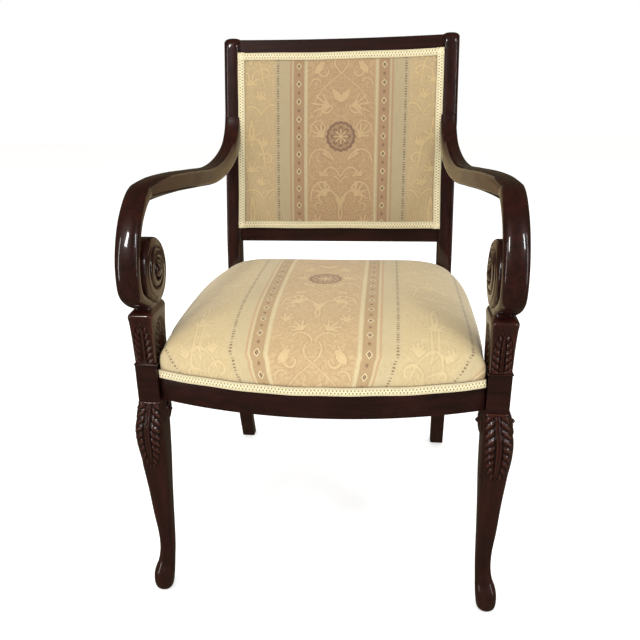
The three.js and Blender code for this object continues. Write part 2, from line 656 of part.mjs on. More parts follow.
// Corner blocks glued and screwed across the inside corners of the seat frame.
const CORNER_SIZE = 46;
const cornerTop = RAIL_TOP - 4;
const cornerBottom = RAIL_BOTTOM + 6;
function cornerBlock(x, y, frontward) {
  const outline = [[0, 0], [-CORNER_SIZE, 0], [0, frontward * CORNER_SIZE]];
  if (frontward < 0) outline.reverse();
  const points = outline.map(([dx, dy]) => new THREE.Vector2(x + dx, y + dy));
  return plate(points, cornerBottom, cornerTop);
}
const cornerPlaces = {
  front: [sideX(BLOCK_REAR + 20) - RAIL_THICK - 3, BLOCK_REAR + 6, 1],
  rear: [backInner(RAIL_TOP) - 2, REAR_FACE(RAIL_BOTTOM) - 8, -1],
};
for (const [end, place] of Object.entries(cornerPlaces)) {
  for (const [name, side] of sides) {
    let solid = cornerBlock(...place);
    const [x, y, frontward] = place;
    for (const [index, [dx, dy]] of [[-0.18, 0.47], [-0.47, 0.18]].entries()) {
      const start = point3([
        x + dx * CORNER_SIZE, y + frontward * dy * CORNER_SIZE, (cornerBottom + cornerTop) / 2,
      ]);
      const out = index ? point3([0.16, -frontward, 0]) : point3([1, -0.16 * frontward, 0]);
      const tip = start.clone().addScaledVector(out.normalize(), 26);
      const piece = screw(start, tip);
      const from = (distance) => start.clone().addScaledVector(out, distance);
      const hole = screw(start, from(27), SCREW_RADIUS + FIT);
      const sink = bar(from(1), from(-30), 2 * SCREW_RADIUS + 0.8, 16);
      solid = solid.subtract(hole).subtract(sink);
      const rail = index ? `${end}_seat_rail` : `side_seat_rail_${name}`;
      add(`${end}_block_screw_${index + 1}_${name}`, mirrored(piece, side), 'steel');
      rails[rail] = rails[rail].subtract(mirrored(hole, side));
    }
    add(`${end}_corner_block_${name}`, mirrored(solid, side), 'beech');
  }
}

for (const [name] of sides) {
  add(`front_leg_${name}`, legs[name], 'wood');
  add(`rear_leg_${name}`, posts[name], 'wood');
  add(`arm_support_${name}`, supports[name], 'wood');
  add(`arm_${name}`, arms[name], 'wood');
}
for (const [name, solid] of Object.entries(rails)) {
  add(name, solid, 'wood');
}

// ---------- seat upholstery ----------
const SUPPORT_REAR = FRONT + SUPPORT_DEPTH + 5;
// Room for the front blocks, arm supports and posts that stand in the seat's corners.
function cornerRoom(clear) {
  let room = block(
    BLOCK_INNER - clear, HALF_WIDTH + 40, FRONT - 60, SUPPORT_REAR + clear, RAIL_BOTTOM, BLOCK_TOP + 120,
  );
  room = room.add(block(
    BLOCK_INNER - HEEL_WIDTH - clear, HALF_WIDTH, BLOCK_REAR - HEEL_DEPTH - clear, BLOCK_REAR + clear,
    RAIL_BOTTOM, RAIL_TOP,
  ));
  const inner = backInner(LOWER_RAIL_BOTTOM) - clear;
  const face = REAR_LEG_Y - POST_DEPTH / 2 - 1 - clear;
  room = room.add(block(inner, inner + 80, face, REAR_LEG_Y + 60, RAIL_BOTTOM, BLOCK_TOP + 120));
  return room.add(mirrored(room, -1));
}
const seatRoom = cornerRoom(2 * FIT);

// Padding over the whole frame: level rings of the seat outline, drawn in towards the crown.
function seatMound(inset, bottom, lift) {
  const edge = RAIL_TOP + 18;
  const rise = SEAT_CROWN - 18;
  // height above the edge as a share of the crown's rise, and how far in from the edge
  const crown = [[0.17, 3], [0.31, 10], [0.45, 25], [0.59, 48], [0.74, 82], [0.88, 128], [1, 195]];
  const levels = [
    [bottom, 0], [edge, 0], ...crown.map(([share, draw]) => [edge + share * rise, draw]),
  ];
  const outline = seatOutline(0);
  const middle = new THREE.Vector2(0, (bowY(0) + SEAT_REAR) / 2);
  const rings = levels.map(([z, draw]) => outline.map((point) => {
    const away = point.clone().sub(middle);
    const size = Math.max(Math.abs(away.x), Math.abs(away.y));
    const corner = Math.min(Math.abs(away.x), Math.abs(away.y)) / size;
    const share = (size - Math.min(draw * (1 + 0.8 * corner ** 3), 0.85 * size) - inset) / size;
    const place = middle.clone().addScaledVector(away, share);
    return point3([place.x, place.y, z + (z > edge ? lift : 0)]);
  }));
  return toSolid(loft(rings));
}
const WEB_BASE = RAIL_TOP + FIT;
const WEB_THICK = 1.4;
const STRAP_WIDTH = 50;
const STRAP_INSET = 6;
for (let i = 0; i < 4; i++) {
  const x = (i - 1.5) * 0.36 * SEAT_HALF;
  const start = bowY(Math.abs(x) + STRAP_WIDTH / 2) + STRAP_INSET;
  const along = block(
    x - STRAP_WIDTH / 2, x + STRAP_WIDTH / 2, start, REAR_LEG_Y + 2, WEB_BASE, WEB_BASE + WEB_THICK,
  );
  add(`webbing_strap_long_${i + 1}`, along, 'webbing');
  const y = FRONT + (0.194 + 0.201 * i) * SEAT_DEPTH;
  const reach = sideX(y + STRAP_WIDTH / 2) - STRAP_INSET;
  const base = WEB_BASE + WEB_THICK + FIT;
  const across = block(-reach, reach, y - STRAP_WIDTH / 2, y + STRAP_WIDTH / 2, base, base + WEB_THICK);
  add(`webbing_strap_cross_${i + 1}`, across, 'webbing');
}
const HESSIAN_BASE = WEB_BASE + 2 * (WEB_THICK + FIT);
const hessian = plate(seatOutline(5), HESSIAN_BASE, HESSIAN_BASE + 1).subtract(seatRoom);
add('seat_hessian', hessian, 'hessian');
const FOAM_BASE = HESSIAN_BASE + 1 + FIT;
const SKIN = COVER_THICK + FIT;
const seatFoam = seatMound(SKIN, FOAM_BASE, -SKIN).subtract(cornerRoom(COVER_THICK + 3 * FIT));
add('seat_foam', seatFoam, 'foam');
const coverHollow = seatMound(COVER_THICK, SHOW_TOP, -COVER_THICK)
  .subtract(cornerRoom(COVER_THICK + 2 * FIT))
  .add(plate(seatOutline(COVER_THICK), SHOW_TOP, FOAM_BASE - FIT));
const seatCover = seatMound(0, SHOW_TOP + 2, 0).subtract(coverHollow).subtract(seatRoom);
add('seat_cover', seatCover, 'seatFabric');

// Black lining tacked under the rails, cut away round the knees and the rear legs.
function dustCover() {
  const top = RAIL_BOTTOM - FIT;
  const knee = block(
    BLOCK_INNER - HEEL_WIDTH - 3, HALF_WIDTH, FRONT - 60, BLOCK_REAR + 3, top - 10, top + 10,
  );
  const inner = backInner(RAIL_BOTTOM) - 2;
  const post = block(inner, inner + 80, REAR_FACE(RAIL_BOTTOM) - 2, REAR_LEG_Y + 60, top - 10, top + 10);
  const corners = knee.add(post);
  return plate(seatOutline(12), top - 1, top).subtract(corners.add(mirrored(corners, -1)));
}
add('seat_dust_cover', dustCover(), 'lining');

// A braid that follows a line in plan, standing off it between near and far.
function braid(line, bottom, top) {
  const near = line(FIT);
  const far = line(FIT + GIMP_THICK);
  return plate([...near, ...far.reverse()], bottom, top);
}
const frontLine = (out) => {
  const points = [];
  for (let i = 0; i <= 16; i++) {
    const x = (BLOCK_INNER - FIT) * (-1 + i / 8);
    points.push(new THREE.Vector2(x, bowY(x) - out));
  }
  return points;
};
const sideLine = (out) => {
  const start = BLOCK_REAR + FIT;
  const end = REAR_FACE(RAIL_TOP) - FIT;
  const points = [];
  for (let i = 0; i <= SIDE_STEPS; i++) {
    const y = start + ((end - start) * i) / SIDE_STEPS;
    points.push(new THREE.Vector2(sideX(y) + SIDE_PROUD + out, y));
  }
  return points;
};
add('seat_gimp_front', braid(frontLine, SHOW_TOP - 1, SHOW_TOP - 1 + GIMP_WIDTH), 'gimp');
const sideBraid = braid(sideLine, SHOW_TOP - 1, SHOW_TOP - 1 + GIMP_WIDTH);
for (const [name, side] of sides) {
  add(`seat_gimp_${name}`, mirrored(sideBraid, side), 'gimp');
}
const rearInner = backInner(RAIL_TOP) - 2;
const rearFace = SEAT_REAR + FIT;
const rearBraid = block(
  -rearInner, rearInner, rearFace, rearFace + GIMP_THICK, SHOW_TOP - 1, SHOW_TOP - 1 + GIMP_WIDTH,
);
add('seat_gimp_back', rearBraid, 'gimp');

// ---------- upholstered back ----------
// Padded panel in the back's own upright frame: a flat lip for the braid, then a soft crown.
const CROWN = 5;
function backMound(inset, back, offset) {
  const lip = LIP + offset;
  const levels = [
    [back, 0], [lip, 0], [lip, GIMP_WIDTH + FIT],
    [lip - CROWN * 0.6, GIMP_WIDTH + 5], [lip - CROWN, GIMP_WIDTH + 24],
  ];
  const rings = levels.map(([y, draw]) => {
    return panelOutline(inset + draw).map(([x, z]) => point3([x, y, z]));
  });
  return toSolid(loft(rings));
}
const WEB_FRONT = PANEL_FRONT + 2.5;
const backBase = WEB_FRONT - FIT;
add('back_webbing', tilt(backPanel(WEB_FRONT, WEB_FRONT + WEB_THICK, 3)), 'webbing');
const backHollow = backMound(COVER_THICK, WEB_FRONT + 5, COVER_THICK);
add('back_foam', tilt(backMound(SKIN, backBase, SKIN)), 'foam');
add('back_cover', tilt(backMound(0, backBase, 0).subtract(backHollow)), 'backFabric');

// A braid laid round the edge of a panel, mitred at its corners.
function panelBraid(front, back, inset) {
  const hole = backPanel(front - 1, back + 1, inset + GIMP_WIDTH);
  return tilt(backPanel(front, back, inset).subtract(hole));
}
add('back_gimp', panelBraid(LIP - FIT - GIMP_THICK, LIP - FIT, 0), 'gimp');
const outsideFace = PIVOT_Y + BACK_RAIL_THICK / 2 + FIT;
const OUTSIDE_INSET = PANEL_LAP + 1;
const outsideSheet = backPanel(outsideFace, outsideFace + COVER_THICK, OUTSIDE_INSET);
add('outside_back_cover', tilt(outsideSheet), 'backFabric');
const outsideBraid = outsideFace + COVER_THICK + FIT;
add('outside_back_gimp', panelBraid(outsideBraid, outsideBraid + GIMP_THICK, OUTSIDE_INSET), 'gimp');

// ---------- stand the chair over its own footprint ----------
const extent = new THREE.Box3().setFromObject(chair);
chair.position.y = -(extent.min.y + extent.max.y) / 2;
chair.updateMatrixWorld(true);

export default chair;
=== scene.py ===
"""Looks of the carved armchair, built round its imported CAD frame. Millimetres until a mesh is made."""

import json
import math

import bmesh
import bpy
import numpy as np
from mathutils import Matrix, Vector


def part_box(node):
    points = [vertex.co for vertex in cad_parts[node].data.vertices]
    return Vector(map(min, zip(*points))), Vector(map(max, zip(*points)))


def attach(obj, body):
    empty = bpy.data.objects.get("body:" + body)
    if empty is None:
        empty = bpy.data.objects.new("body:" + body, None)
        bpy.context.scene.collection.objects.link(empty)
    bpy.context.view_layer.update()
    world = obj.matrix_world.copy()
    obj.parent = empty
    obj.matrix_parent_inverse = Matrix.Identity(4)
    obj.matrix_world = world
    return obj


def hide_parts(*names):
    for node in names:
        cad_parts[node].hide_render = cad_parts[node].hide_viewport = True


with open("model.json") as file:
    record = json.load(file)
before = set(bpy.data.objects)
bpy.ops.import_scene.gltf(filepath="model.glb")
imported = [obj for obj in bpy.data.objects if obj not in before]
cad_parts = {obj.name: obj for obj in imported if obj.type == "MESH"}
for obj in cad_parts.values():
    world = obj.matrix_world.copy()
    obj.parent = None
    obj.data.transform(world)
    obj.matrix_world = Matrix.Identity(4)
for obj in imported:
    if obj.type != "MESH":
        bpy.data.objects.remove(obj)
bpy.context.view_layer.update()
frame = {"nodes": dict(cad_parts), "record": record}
MM = 0.001
SIDES = (("left", -1), ("right", 1))


def box(node):
    """Lowest and highest corner of a CAD node in millimetres."""
    return [np.array(corner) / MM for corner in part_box(node)]


def top_of(node):
    return box(node)[1][2]


# ---------- places read from the frame ----------
support_low, support_high = box("arm_support_right")
rail_low, rail_high = box("front_seat_rail")

FRONT = support_low[1] + 1.0               # front face of the leg blocks
HALF_WIDTH = support_high[0] - 0.5         # their outer faces
BLOCK_INNER = support_low[0] - 0.5
BLOCK_REAR = FRONT + 55
BLOCK_TOP = top_of("front_leg_right")
RAIL_BOTTOM, RAIL_TOP = rail_low[2], rail_high[2]
SCROLL_RADIUS = 54.0
EYE_Y = FRONT + 47
EYE_Z = box("arm_right")[0][2] + SCROLL_RADIUS - 1
SUPPORT_TOP = EYE_Z - SCROLL_RADIUS - 6
REAR_LEG_Y = FRONT + 438                   # middle of the rear legs at seat level
FOOT_SWEEP = 110
LOWER_RAIL_BOTTOM = RAIL_TOP + 94
RAKE = math.radians(9.9)
PIVOT_Y = REAR_LEG_Y + 6
ARM_LEVEL = 667.0
ARM_JOINT = ARM_LEVEL + 38
ARM_SPREAD = HALF_WIDTH - 14
BACK_HEIGHT = top_of("crest_rail")
POST_TOP = top_of("rear_leg_right")
POST_X = (225.5, 211.5, 207.0)             # middle of the rear legs at the floor, the seat and the crest
FRONT_BOW = 45.0
BOW_END = FRONT + 9
BOW_RADIUS = (BLOCK_INNER ** 2 + FRONT_BOW ** 2) / (2 * FRONT_BOW)
SEAT_HALF, SEAT_REAR_HALF = 250.0, 224.0
WIDEST_Y = FRONT + 200
SIDE_REACH = 224.0                         # the side curves in over this length behind its widest place
SEAT_REAR = REAR_LEG_Y + 12
SEAT_TOP = top_of("seat_cover")
GIMP_WIDTH, GIMP_THICK, GIMP_LOOP = 14.0, 2.6, 5.2
GIMP_BASE = box("seat_gimp_front")[0][2]


def mix(a, b, share):
    return a + (b - a) * share


def smooth(low, high, value):
    share = np.clip((value - low) / (high - low), 0, 1)
    return share * share * (3 - 2 * share)


def bow_y(x):
    """Front face of the bowed rail at x."""
    return BOW_END - FRONT_BOW + BOW_RADIUS - np.sqrt(BOW_RADIUS ** 2 - np.square(x))


def side_x(y):
    """Half width of the seat's curved side at y."""
    y = np.asarray(y, float)
    ahead = SEAT_HALF - 5 * ((WIDEST_Y - y) / 150) ** 2
    behind = SEAT_HALF - (SEAT_HALF - SEAT_REAR_HALF) * (np.maximum(y - WIDEST_Y, 0) / SIDE_REACH) ** 3
    return np.where(y < WIDEST_Y, ahead, behind)


def post_x(z):
    floor, seat, crest = POST_X
    if z < RAIL_TOP:
        return mix(floor, seat, z / RAIL_TOP)
    return mix(seat, crest, min(1, (z - RAIL_TOP) / (BACK_HEIGHT - RAIL_TOP)))


def spline(points, count):
    """Evenly spaced points on a centripetal Catmull-Rom curve."""
    points = np.asarray(points, float)
    ends = [2 * points[0] - points[1], *points, 2 * points[-1] - points[-2]]
    dense = []
    for a, b, c, d in zip(ends, ends[1:], ends[2:], ends[3:]):
        t = [0.0]
        for p, q in ((a, b), (b, c), (c, d)):
            t.append(t[-1] + max(np.linalg.norm(q - p), 1e-6) ** 0.5)
        for s in np.linspace(t[1], t[2], 24, endpoint=False):
            p1 = mix(a, b, (s - t[0]) / (t[1] - t[0]))
            p2 = mix(b, c, (s - t[1]) / (t[2] - t[1]))
            p3 = mix(c, d, (s - t[2]) / (t[3] - t[2]))
            q1 = mix(p1, p2, (s - t[0]) / (t[2] - t[0]))
            q2 = mix(p2, p3, (s - t[1]) / (t[3] - t[1]))
            dense.append(mix(q1, q2, (s - t[1]) / (t[2] - t[1])))
    dense.append(points[-1])
    return along(np.array(dense), count)


def along(line, count):
    """The line's points at count even steps."""
    steps = np.r_[0, np.cumsum(np.linalg.norm(np.diff(line, axis=0), axis=1))]
    places = np.linspace(0, steps[-1], count)
    return np.stack([np.interp(places, steps, line[:, k]) for k in range(line.shape[1])], axis=1)


REAR_SWEEP = [(1, 0), (0.69, 0.2), (0.31, 0.5), (0.05, 0.85)]
REAR_LINE = spline([
    *((REAR_LEG_Y + sweep * FOOT_SWEEP, height * RAIL_BOTTOM) for sweep, height in REAR_SWEEP),
    (REAR_LEG_Y, RAIL_TOP), (PIVOT_Y, LOWER_RAIL_BOTTOM),
], 80)


def post_y(z):
    if z >= LOWER_RAIL_BOTTOM:
        return PIVOT_Y + (z - LOWER_RAIL_BOTTOM) * math.tan(RAKE)
    return float(np.interp(z, REAR_LINE[:, 1], REAR_LINE[:, 0]))


# ---------- meshes ----------
def piece(name, points, faces, finish, slot, *stands_for, sharp=40, coords=None):
    """A mesh that rides on the chair; coords are the cloth's own millimetres at each point."""
    mesh = bpy.data.meshes.new(name)
    mesh.from_pydata((np.asarray(points, float) * MM).tolist(), [], [list(map(int, f)) for f in faces])
    mesh.validate()
    made = bpy.data.objects.new(name, mesh)
    bpy.context.scene.collection.objects.link(made)
    work = bmesh.new()
    work.from_mesh(mesh)
    bmesh.ops.recalc_face_normals(work, faces=work.faces)
    work.to_mesh(mesh)
    work.free()
    mesh.shade_smooth()
    if sharp:
        mesh.set_sharp_from_angle(angle=math.radians(sharp))
    mesh.materials.append(finish)
    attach(made, "root")
    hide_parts(*stands_for)
    if coords is not None:
        data = mesh.attributes.new("cloth", "FLOAT_VECTOR", "POINT")
        data.data.foreach_set("vector", np.asarray(coords, np.float32).ravel())
    return made


def pair(name, body, finish, node, sharp):
    """The same body on both sides of the chair; a star in the names stands for left or right."""
    points, faces = body
    for label, side in SIDES:
        piece(name.replace("*", label), points * np.array([side, 1, 1]), faces, finish, "frame_wood",
              node.replace("*", label), sharp=sharp)


def onward(ring):
    """The ring started one point later."""
    return ring[1:] + ring[:1]


def skin(rings):
    """Points and faces of a closed body through rings of equal count, capped at both ends."""
    rings = np.asarray(rings, float)
    rows, count = rings.shape[:2]
    points = np.concatenate([rings.reshape(-1, 3), rings[0].mean(0)[None], rings[-1].mean(0)[None]])
    index = [list(range(i * count, (i + 1) * count)) for i in range(rows)]
    faces = []
    for low, high in zip(index, index[1:]):
        faces += zip(low, onward(low), onward(high), high)
    foot, top, last = rows * count, rows * count + 1, (rows - 1) * count
    for j, k in zip(index[0], onward(index[0])):
        faces += [(foot, k, j), (top, last + j, last + k)]
    return points, faces


def join(*bodies):
    points, faces, start = [], [], 0
    for body_points, body_faces in bodies:
        points.append(body_points)
        faces += [tuple(start + v for v in f) for f in body_faces]
        start += len(body_points)
    return np.concatenate(points), faces


def rounded(count, power):
    """Unit superellipse, as cosines and sines."""
    angles = 2 * math.pi * (np.arange(count) + 0.5) / count
    c, s = np.cos(angles), np.sin(angles)
    return np.sign(c) * np.abs(c) ** (2 / power), np.sign(s) * np.abs(s) ** (2 / power)


def level_ring(z, x0, x1, y0, y1, power, count=72):
    """A level superellipse between four limits, with its points evenly spaced round it."""
    c, s = rounded(count * 6, power)
    ring = np.stack([mix(x0, x1, (c + 1) / 2), mix(y0, y1, (s + 1) / 2), np.full(len(c), z)], axis=1)
    return along(np.vstack([ring, ring[:1]]), count + 1)[:-1]


def soft_box(low, high, radius, steps=4):
    """A box with rounded edges, as rings from bottom to top."""
    rings = []
    for k in range(steps + 1):
        turn = math.pi / 2 * k / steps
        rings.append((low[2] + radius * (1 - math.sin(turn)), radius * (1 - math.cos(turn))))
    rings += [(low[2] + high[2] - z, inset) for z, inset in reversed(rings)]
    made = []
    for z, inset in rings:
        ring = []
        for cx, cy, first in ((1, 1, 0), (-1, 1, 90), (-1, -1, 180), (1, -1, 270)):
            for k in range(steps + 1):
                turn = math.radians(first + 90 * k / steps)
                edge = max(radius - inset, 0.01)
                x = (high[0] - radius if cx > 0 else low[0] + radius) + edge * math.cos(turn)
                y = (high[1] - radius if cy > 0 else low[1] + radius) + edge * math.sin(turn)
                ring.append((x, y, z))
        made.append(ring)
    return skin(made)


# ---------- shader building ----------
class Number:
    """A shader value that takes part in sums."""

    def __init__(self, tree, socket):
        self.tree, self.socket = tree, socket

    def math(self, operation, *others, clamp=False):
        node = self.tree.nodes.new("ShaderNodeMath")
        node.operation, node.use_clamp = operation, clamp
        for socket, value in zip(node.inputs, (self, *others)):
            if isinstance(value, Number):
                self.tree.links.new(value.socket, socket)
            else:
                socket.default_value = value
        return Number(self.tree, node.outputs[0])

    def __add__(self, other):
        return self.math("ADD", other)

    def __sub__(self, other):
        return self.math("SUBTRACT", other)

    def __mul__(self, other):
        return self.math("MULTIPLY", other)

    def __truediv__(self, other):
        return self.math("DIVIDE", other)

    def above(self, edge, blur=0.35):
        """0 below edge and 1 above it."""
        return ((self - edge) * (0.5 / blur) + 0.5).math("MAXIMUM", 0.0).math("MINIMUM", 1.0)

    def below(self, edge, blur=0.35):
        return (self * -1.0).above(-edge, blur)

    def between(self, low, high, blur=0.35):
        return self.above(low, blur) * self.below(high, blur)

    def wrapped(self, period):
        """Distance from the nearest multiple of period."""
        return (self / period + 0.5).math("FRACT").math("SUBTRACT", 0.5).math("ABSOLUTE") * period


class Finish:
    """A material under construction, with the nodes that every finish here shares."""

    def __init__(self, name):
        self.material = bpy.data.materials.new(name)
        self.material.use_nodes = True
        self.tree = self.material.node_tree
        self.shader = next(n for n in self.tree.nodes if n.type == "BSDF_PRINCIPLED")

    def node(self, kind, **values):
        made = self.tree.nodes.new(kind)
        for key, value in values.items():
            if hasattr(made, key):
                setattr(made, key, value)
            else:
                made.inputs[key.replace("_", " ")].default_value = value
        return made

    def link(self, start, end):
        self.tree.links.new(start.socket if isinstance(start, Number) else start, end)

    def places(self, scale=(1, 1, 1)):
        """Millimetres in the chair's own frame, stretched by scale."""
        mapping = self.node("ShaderNodeMapping", Scale=[1000 * s for s in scale])
        self.link(self.node("ShaderNodeTexCoord").outputs["Object"], mapping.inputs["Vector"])
        return mapping.outputs["Vector"]

    def noise(self, vector, size, detail=4.0, rough=0.55):
        made = self.node("ShaderNodeTexNoise", Scale=1 / size, Detail=detail, Roughness=rough)
        self.link(vector, made.inputs["Vector"])
        return Number(self.tree, made.outputs["Fac"])

    def attribute(self, name):
        return self.node("ShaderNodeAttribute", attribute_name=name)

    def axes(self, vector):
        """The first two coordinates of a vector."""
        split = self.node("ShaderNodeSeparateXYZ")
        self.link(vector, split.inputs[0])
        return Number(self.tree, split.outputs["X"]), Number(self.tree, split.outputs["Y"])

    def blend(self, share, low, high, kind="MIX"):
        """Colour between low and high, which are colours or sockets."""
        made = self.node("ShaderNodeMix", data_type="RGBA", blend_type=kind)
        for socket, value in ((made.inputs[0], share), (made.inputs[6], low), (made.inputs[7], high)):
            if isinstance(value, Number) or hasattr(value, "is_output"):
                self.link(value, socket)
            elif isinstance(value, (tuple, list)):
                socket.default_value = (*value, 1)
            else:
                socket.default_value = value
        return made.outputs[2]

    def bump(self, height, distance, strength=1.0, under=None):
        made = self.node("ShaderNodeBump", Strength=strength, Distance=distance * MM)
        self.link(height, made.inputs["Height"])
        if under:
            self.link(under, made.inputs["Normal"])
        return made.outputs["Normal"]

    def surface(self, colour, roughness=None, normal=None, **constants):
        self.link(colour, self.shader.inputs["Base Color"])
        if roughness is not None:
            self.link(roughness, self.shader.inputs["Roughness"])
        if normal is not None:
            self.link(normal, self.shader.inputs["Normal"])
        for key, value in constants.items():
            self.shader.inputs[key.replace("_", " ")].default_value = value
        return self.material


def rgb(*screen):
    """A colour given as on a screen, from 0 to 255."""
    return tuple(((c / 255 + 0.055) / 1.055) ** 2.4 if c > 10 else c / 3294.6 for c in screen)


def palette(**colours):
    return {name: rgb(*screen) for name, screen in colours.items()}


def polished(name, run, gloss=0.07, carved=False):
    """Dark reddish hardwood under lacquer; the grain runs along the run axis."""
    f = Finish(name)
    stretch = [1.0, 1.0, 1.0]
    stretch["XYZ".index(run)] = 0.06
    grain = f.places(stretch)
    figure = f.noise(grain, 9, 6, 0.6)
    pores = f.noise(grain, 1.6, 3, 0.7)
    cloud = f.noise(f.places(), 70, 2)
    streak = (figure * 1.6 - 0.35).math("MULTIPLY", cloud * 0.9 + 0.45, clamp=True)
    colour = f.blend(streak, rgb(19, 7, 5), rgb(56, 18, 12))
    colour = f.blend(pores.above(0.56, 0.1) * 0.35, colour, rgb(14, 5, 4))
    if carved:
        # painted highlight and painted shade: convex ridges of the carving are painted lighter red-brown as
        # a highlight, and its hollows are painted near black as shade
        edge = Number(f.tree, f.node("ShaderNodeNewGeometry").outputs["Pointiness"])
        colour = f.blend(edge.above(0.535, 0.04) * 0.5, colour, rgb(86, 44, 30))
        colour = f.blend(edge.below(0.475, 0.03) * 0.75, colour, rgb(10, 4, 4))
    skin_height = f.noise(f.places(), 24, 2) * 0.6 + pores * 0.05
    normal = f.bump(skin_height, 0.35, 0.35)
    rough = f.noise(f.places(), 40, 3) * 0.16 + 0.3
    return f.surface(colour, rough, normal, Coat_Weight=1.0, Coat_Roughness=gloss, Coat_IOR=1.5,
                     Specular_IOR_Level=0.2)


# painted shade: the back's tints are the seat's damask tints painted darker, as shade on the upright panel
SHADED_BACK_TINTS = palette(
    field=(152, 123, 90), field_figure=(180, 153, 112), stripe=(162, 146, 114), diamond=(142, 112, 82),
    pink=(150, 120, 92), band=(156, 141, 110), ground=(164, 143, 107), ground_figure=(184, 158, 112),
    dark=(58, 34, 28), rose=(92, 58, 48), cream=(190, 174, 136),
)
SEAT_TINTS = palette(
    field=(181, 153, 113), field_figure=(206, 180, 134), stripe=(194, 176, 136), diamond=(168, 140, 102),
    pink=(182, 150, 114), band=(188, 171, 132), ground=(192, 172, 130), ground_figure=(206, 184, 138),
    dark=(96, 60, 42), rose=(118, 80, 58), cream=(208, 192, 152),
)
REPEAT = 175.0                             # the stripes mirror at this distance from the centre
STRIPES = [(64, "stripe"), (71, "diamond"), (91, "stripe"), (95, "pink"), (98.5, "band")]


def damask(name, tints):
    """Striped furnishing damask, drawn in the cloth's own millimetres."""
    f = Finish(name)
    u, v = f.axes(f.attribute("cloth").outputs["Vector"])
    a = u.wrapped(2 * REPEAT)
    figure = Number(f.tree, f.attribute("figure").outputs["Fac"])
    # between the drawn scrolls the ground is filled with fine mirrored tracery
    mirrored = f.node("ShaderNodeCombineXYZ")
    f.link(a, mirrored.inputs[0])
    f.link(v, mirrored.inputs[1])
    tracery = (f.noise(mirrored.outputs[0], 17, 1) * 6.0).math("FRACT").between(0.34, 0.66, 0.16)
    solid = figure.above(0.38, 0.22)
    drawn = solid.math("MAXIMUM", tracery * 0.6)

    colour = f.blend(drawn * 0.72, tints["field"], tints["field_figure"])
    outline = figure.between(0.05, 0.34, 0.06)
    colour = f.blend(outline * 0.26, colour, tints["rose"])
    ground = f.blend(drawn * 0.8, tints["ground"], tints["ground_figure"])
    ground = f.blend(outline * 0.16, ground, tints["rose"])
    for edge, tint in STRIPES:
        colour = f.blend(a.above(edge), colour, tints[tint])
    colour = f.blend(a.above(127, 3), colour, ground)
    colour = f.blend(a.between(66.2, 68.2) * 0.5, colour, tints["cream"])

    # cream diamonds with a dark heart, and small dark lozenges between them
    step = 32.5
    off = (a - 81.0).math("ABSOLUTE")
    big = off / 5.2 + v.wrapped(step) / 6.4
    small = off / 3.0 + (v + step / 2).wrapped(step) / 3.8
    colour = f.blend(big.between(-1, 1.0, 0.05), colour, tints["cream"])
    colour = f.blend(big.between(-1, 0.62, 0.06), colour, tints["dark"])
    colour = f.blend(big.between(-1, 0.26, 0.06), colour, tints["diamond"])
    colour = f.blend(small.between(-1, 1.0, 0.1) * 0.75, colour, tints["rose"])

    # a ladder of short dashes
    rung = v.wrapped(4.6).above(1.15, 0.25)
    gap = v.wrapped(23.0).above(2.2, 0.2)
    ladder = a.between(119.4, 123.2) * rung * gap
    ladder = ladder * ((a - 121.3).math("ABSOLUTE").above(0.5, 0.3) * 0.35 + 0.65)
    colour = f.blend(ladder * 0.95, colour, tints["dark"])

    # the round medallion: scalloped ring and eight petals
    radius = (u * u + v * v).math("SQRT")
    angle = v.math("ARCTAN2", u)
    scallop = (angle * 8.0).math("COSINE").math("ABSOLUTE") * 2.2 + 24.2
    ring = (radius - scallop).math("ABSOLUTE")
    petal = (angle * 4.0).math("COSINE").math("ABSOLUTE")
    leaf = (petal * (radius * -1.0 + 21.0).math("MAXIMUM", 0.0).math("SQRT") * 2.2 - radius * 0.06)
    inside = radius.below(20.5, 1.2)
    rosette = inside * leaf.between(1.6, 4.4, 0.6)
    colour = f.blend(radius.below(26.0, 1.5) * 0.35, colour, tints["rose"])
    colour = f.blend(inside * leaf.above(4.6, 0.6) * 0.6, colour, tints["field_figure"])
    colour = f.blend(ring.below(2.3, 0.9) * 0.85, colour, tints["rose"])
    colour = f.blend(rosette * 0.7, colour, tints["rose"])
    colour = f.blend(radius.below(3.2, 0.8) * 0.7, colour, tints["field_figure"])

    # threads, slubs and slight soiling
    threads = (u * 7.4).math("SINE") * 0.5 + (v * 8.3).math("SINE") * 0.5
    slub = f.noise(f.places((1, 1, 0.12)), 2.2, 3)
    soil = f.noise(f.places(), 60, 4)
    colour = f.blend(slub.above(0.56, 0.12) * 0.16, colour, rgb(120, 92, 62))
    colour = f.blend(soil.above(0.6, 0.25) * 0.14, colour, rgb(150, 120, 80))
    colour = f.blend(threads.above(0.1, 0.9) * 0.1, colour, rgb(250, 236, 200))
    woven = f.bump(threads * 0.5 + slub, 0.12, 0.5)
    normal = f.bump(figure.math("MINIMUM", 1.0) + tracery * 0.4, 0.6, 0.8, under=woven)
    return f.surface(colour, drawn * -0.16 + 0.82, normal, Sheen_Weight=0.25, Sheen_Roughness=0.45,
                     Specular_IOR_Level=0.25)


def cloth_like(name, low, high, size, rough=0.9, depth=0.4):
    """Plain weave for the pieces under the covers."""
    f = Finish(name)
    grain = f.noise(f.places(), size, 5, 0.6)
    warp, weft = ((axis * (3.1 / size)).math("SINE") for axis in f.axes(f.places()))
    height = warp * 0.3 + weft * 0.3 + grain
    colour = f.blend(height.above(0.5, 0.45), low, high)
    return f.surface(colour, grain * 0.1 + (rough - 0.05), f.bump(height, depth, 0.7), Sheen_Weight=0.15)


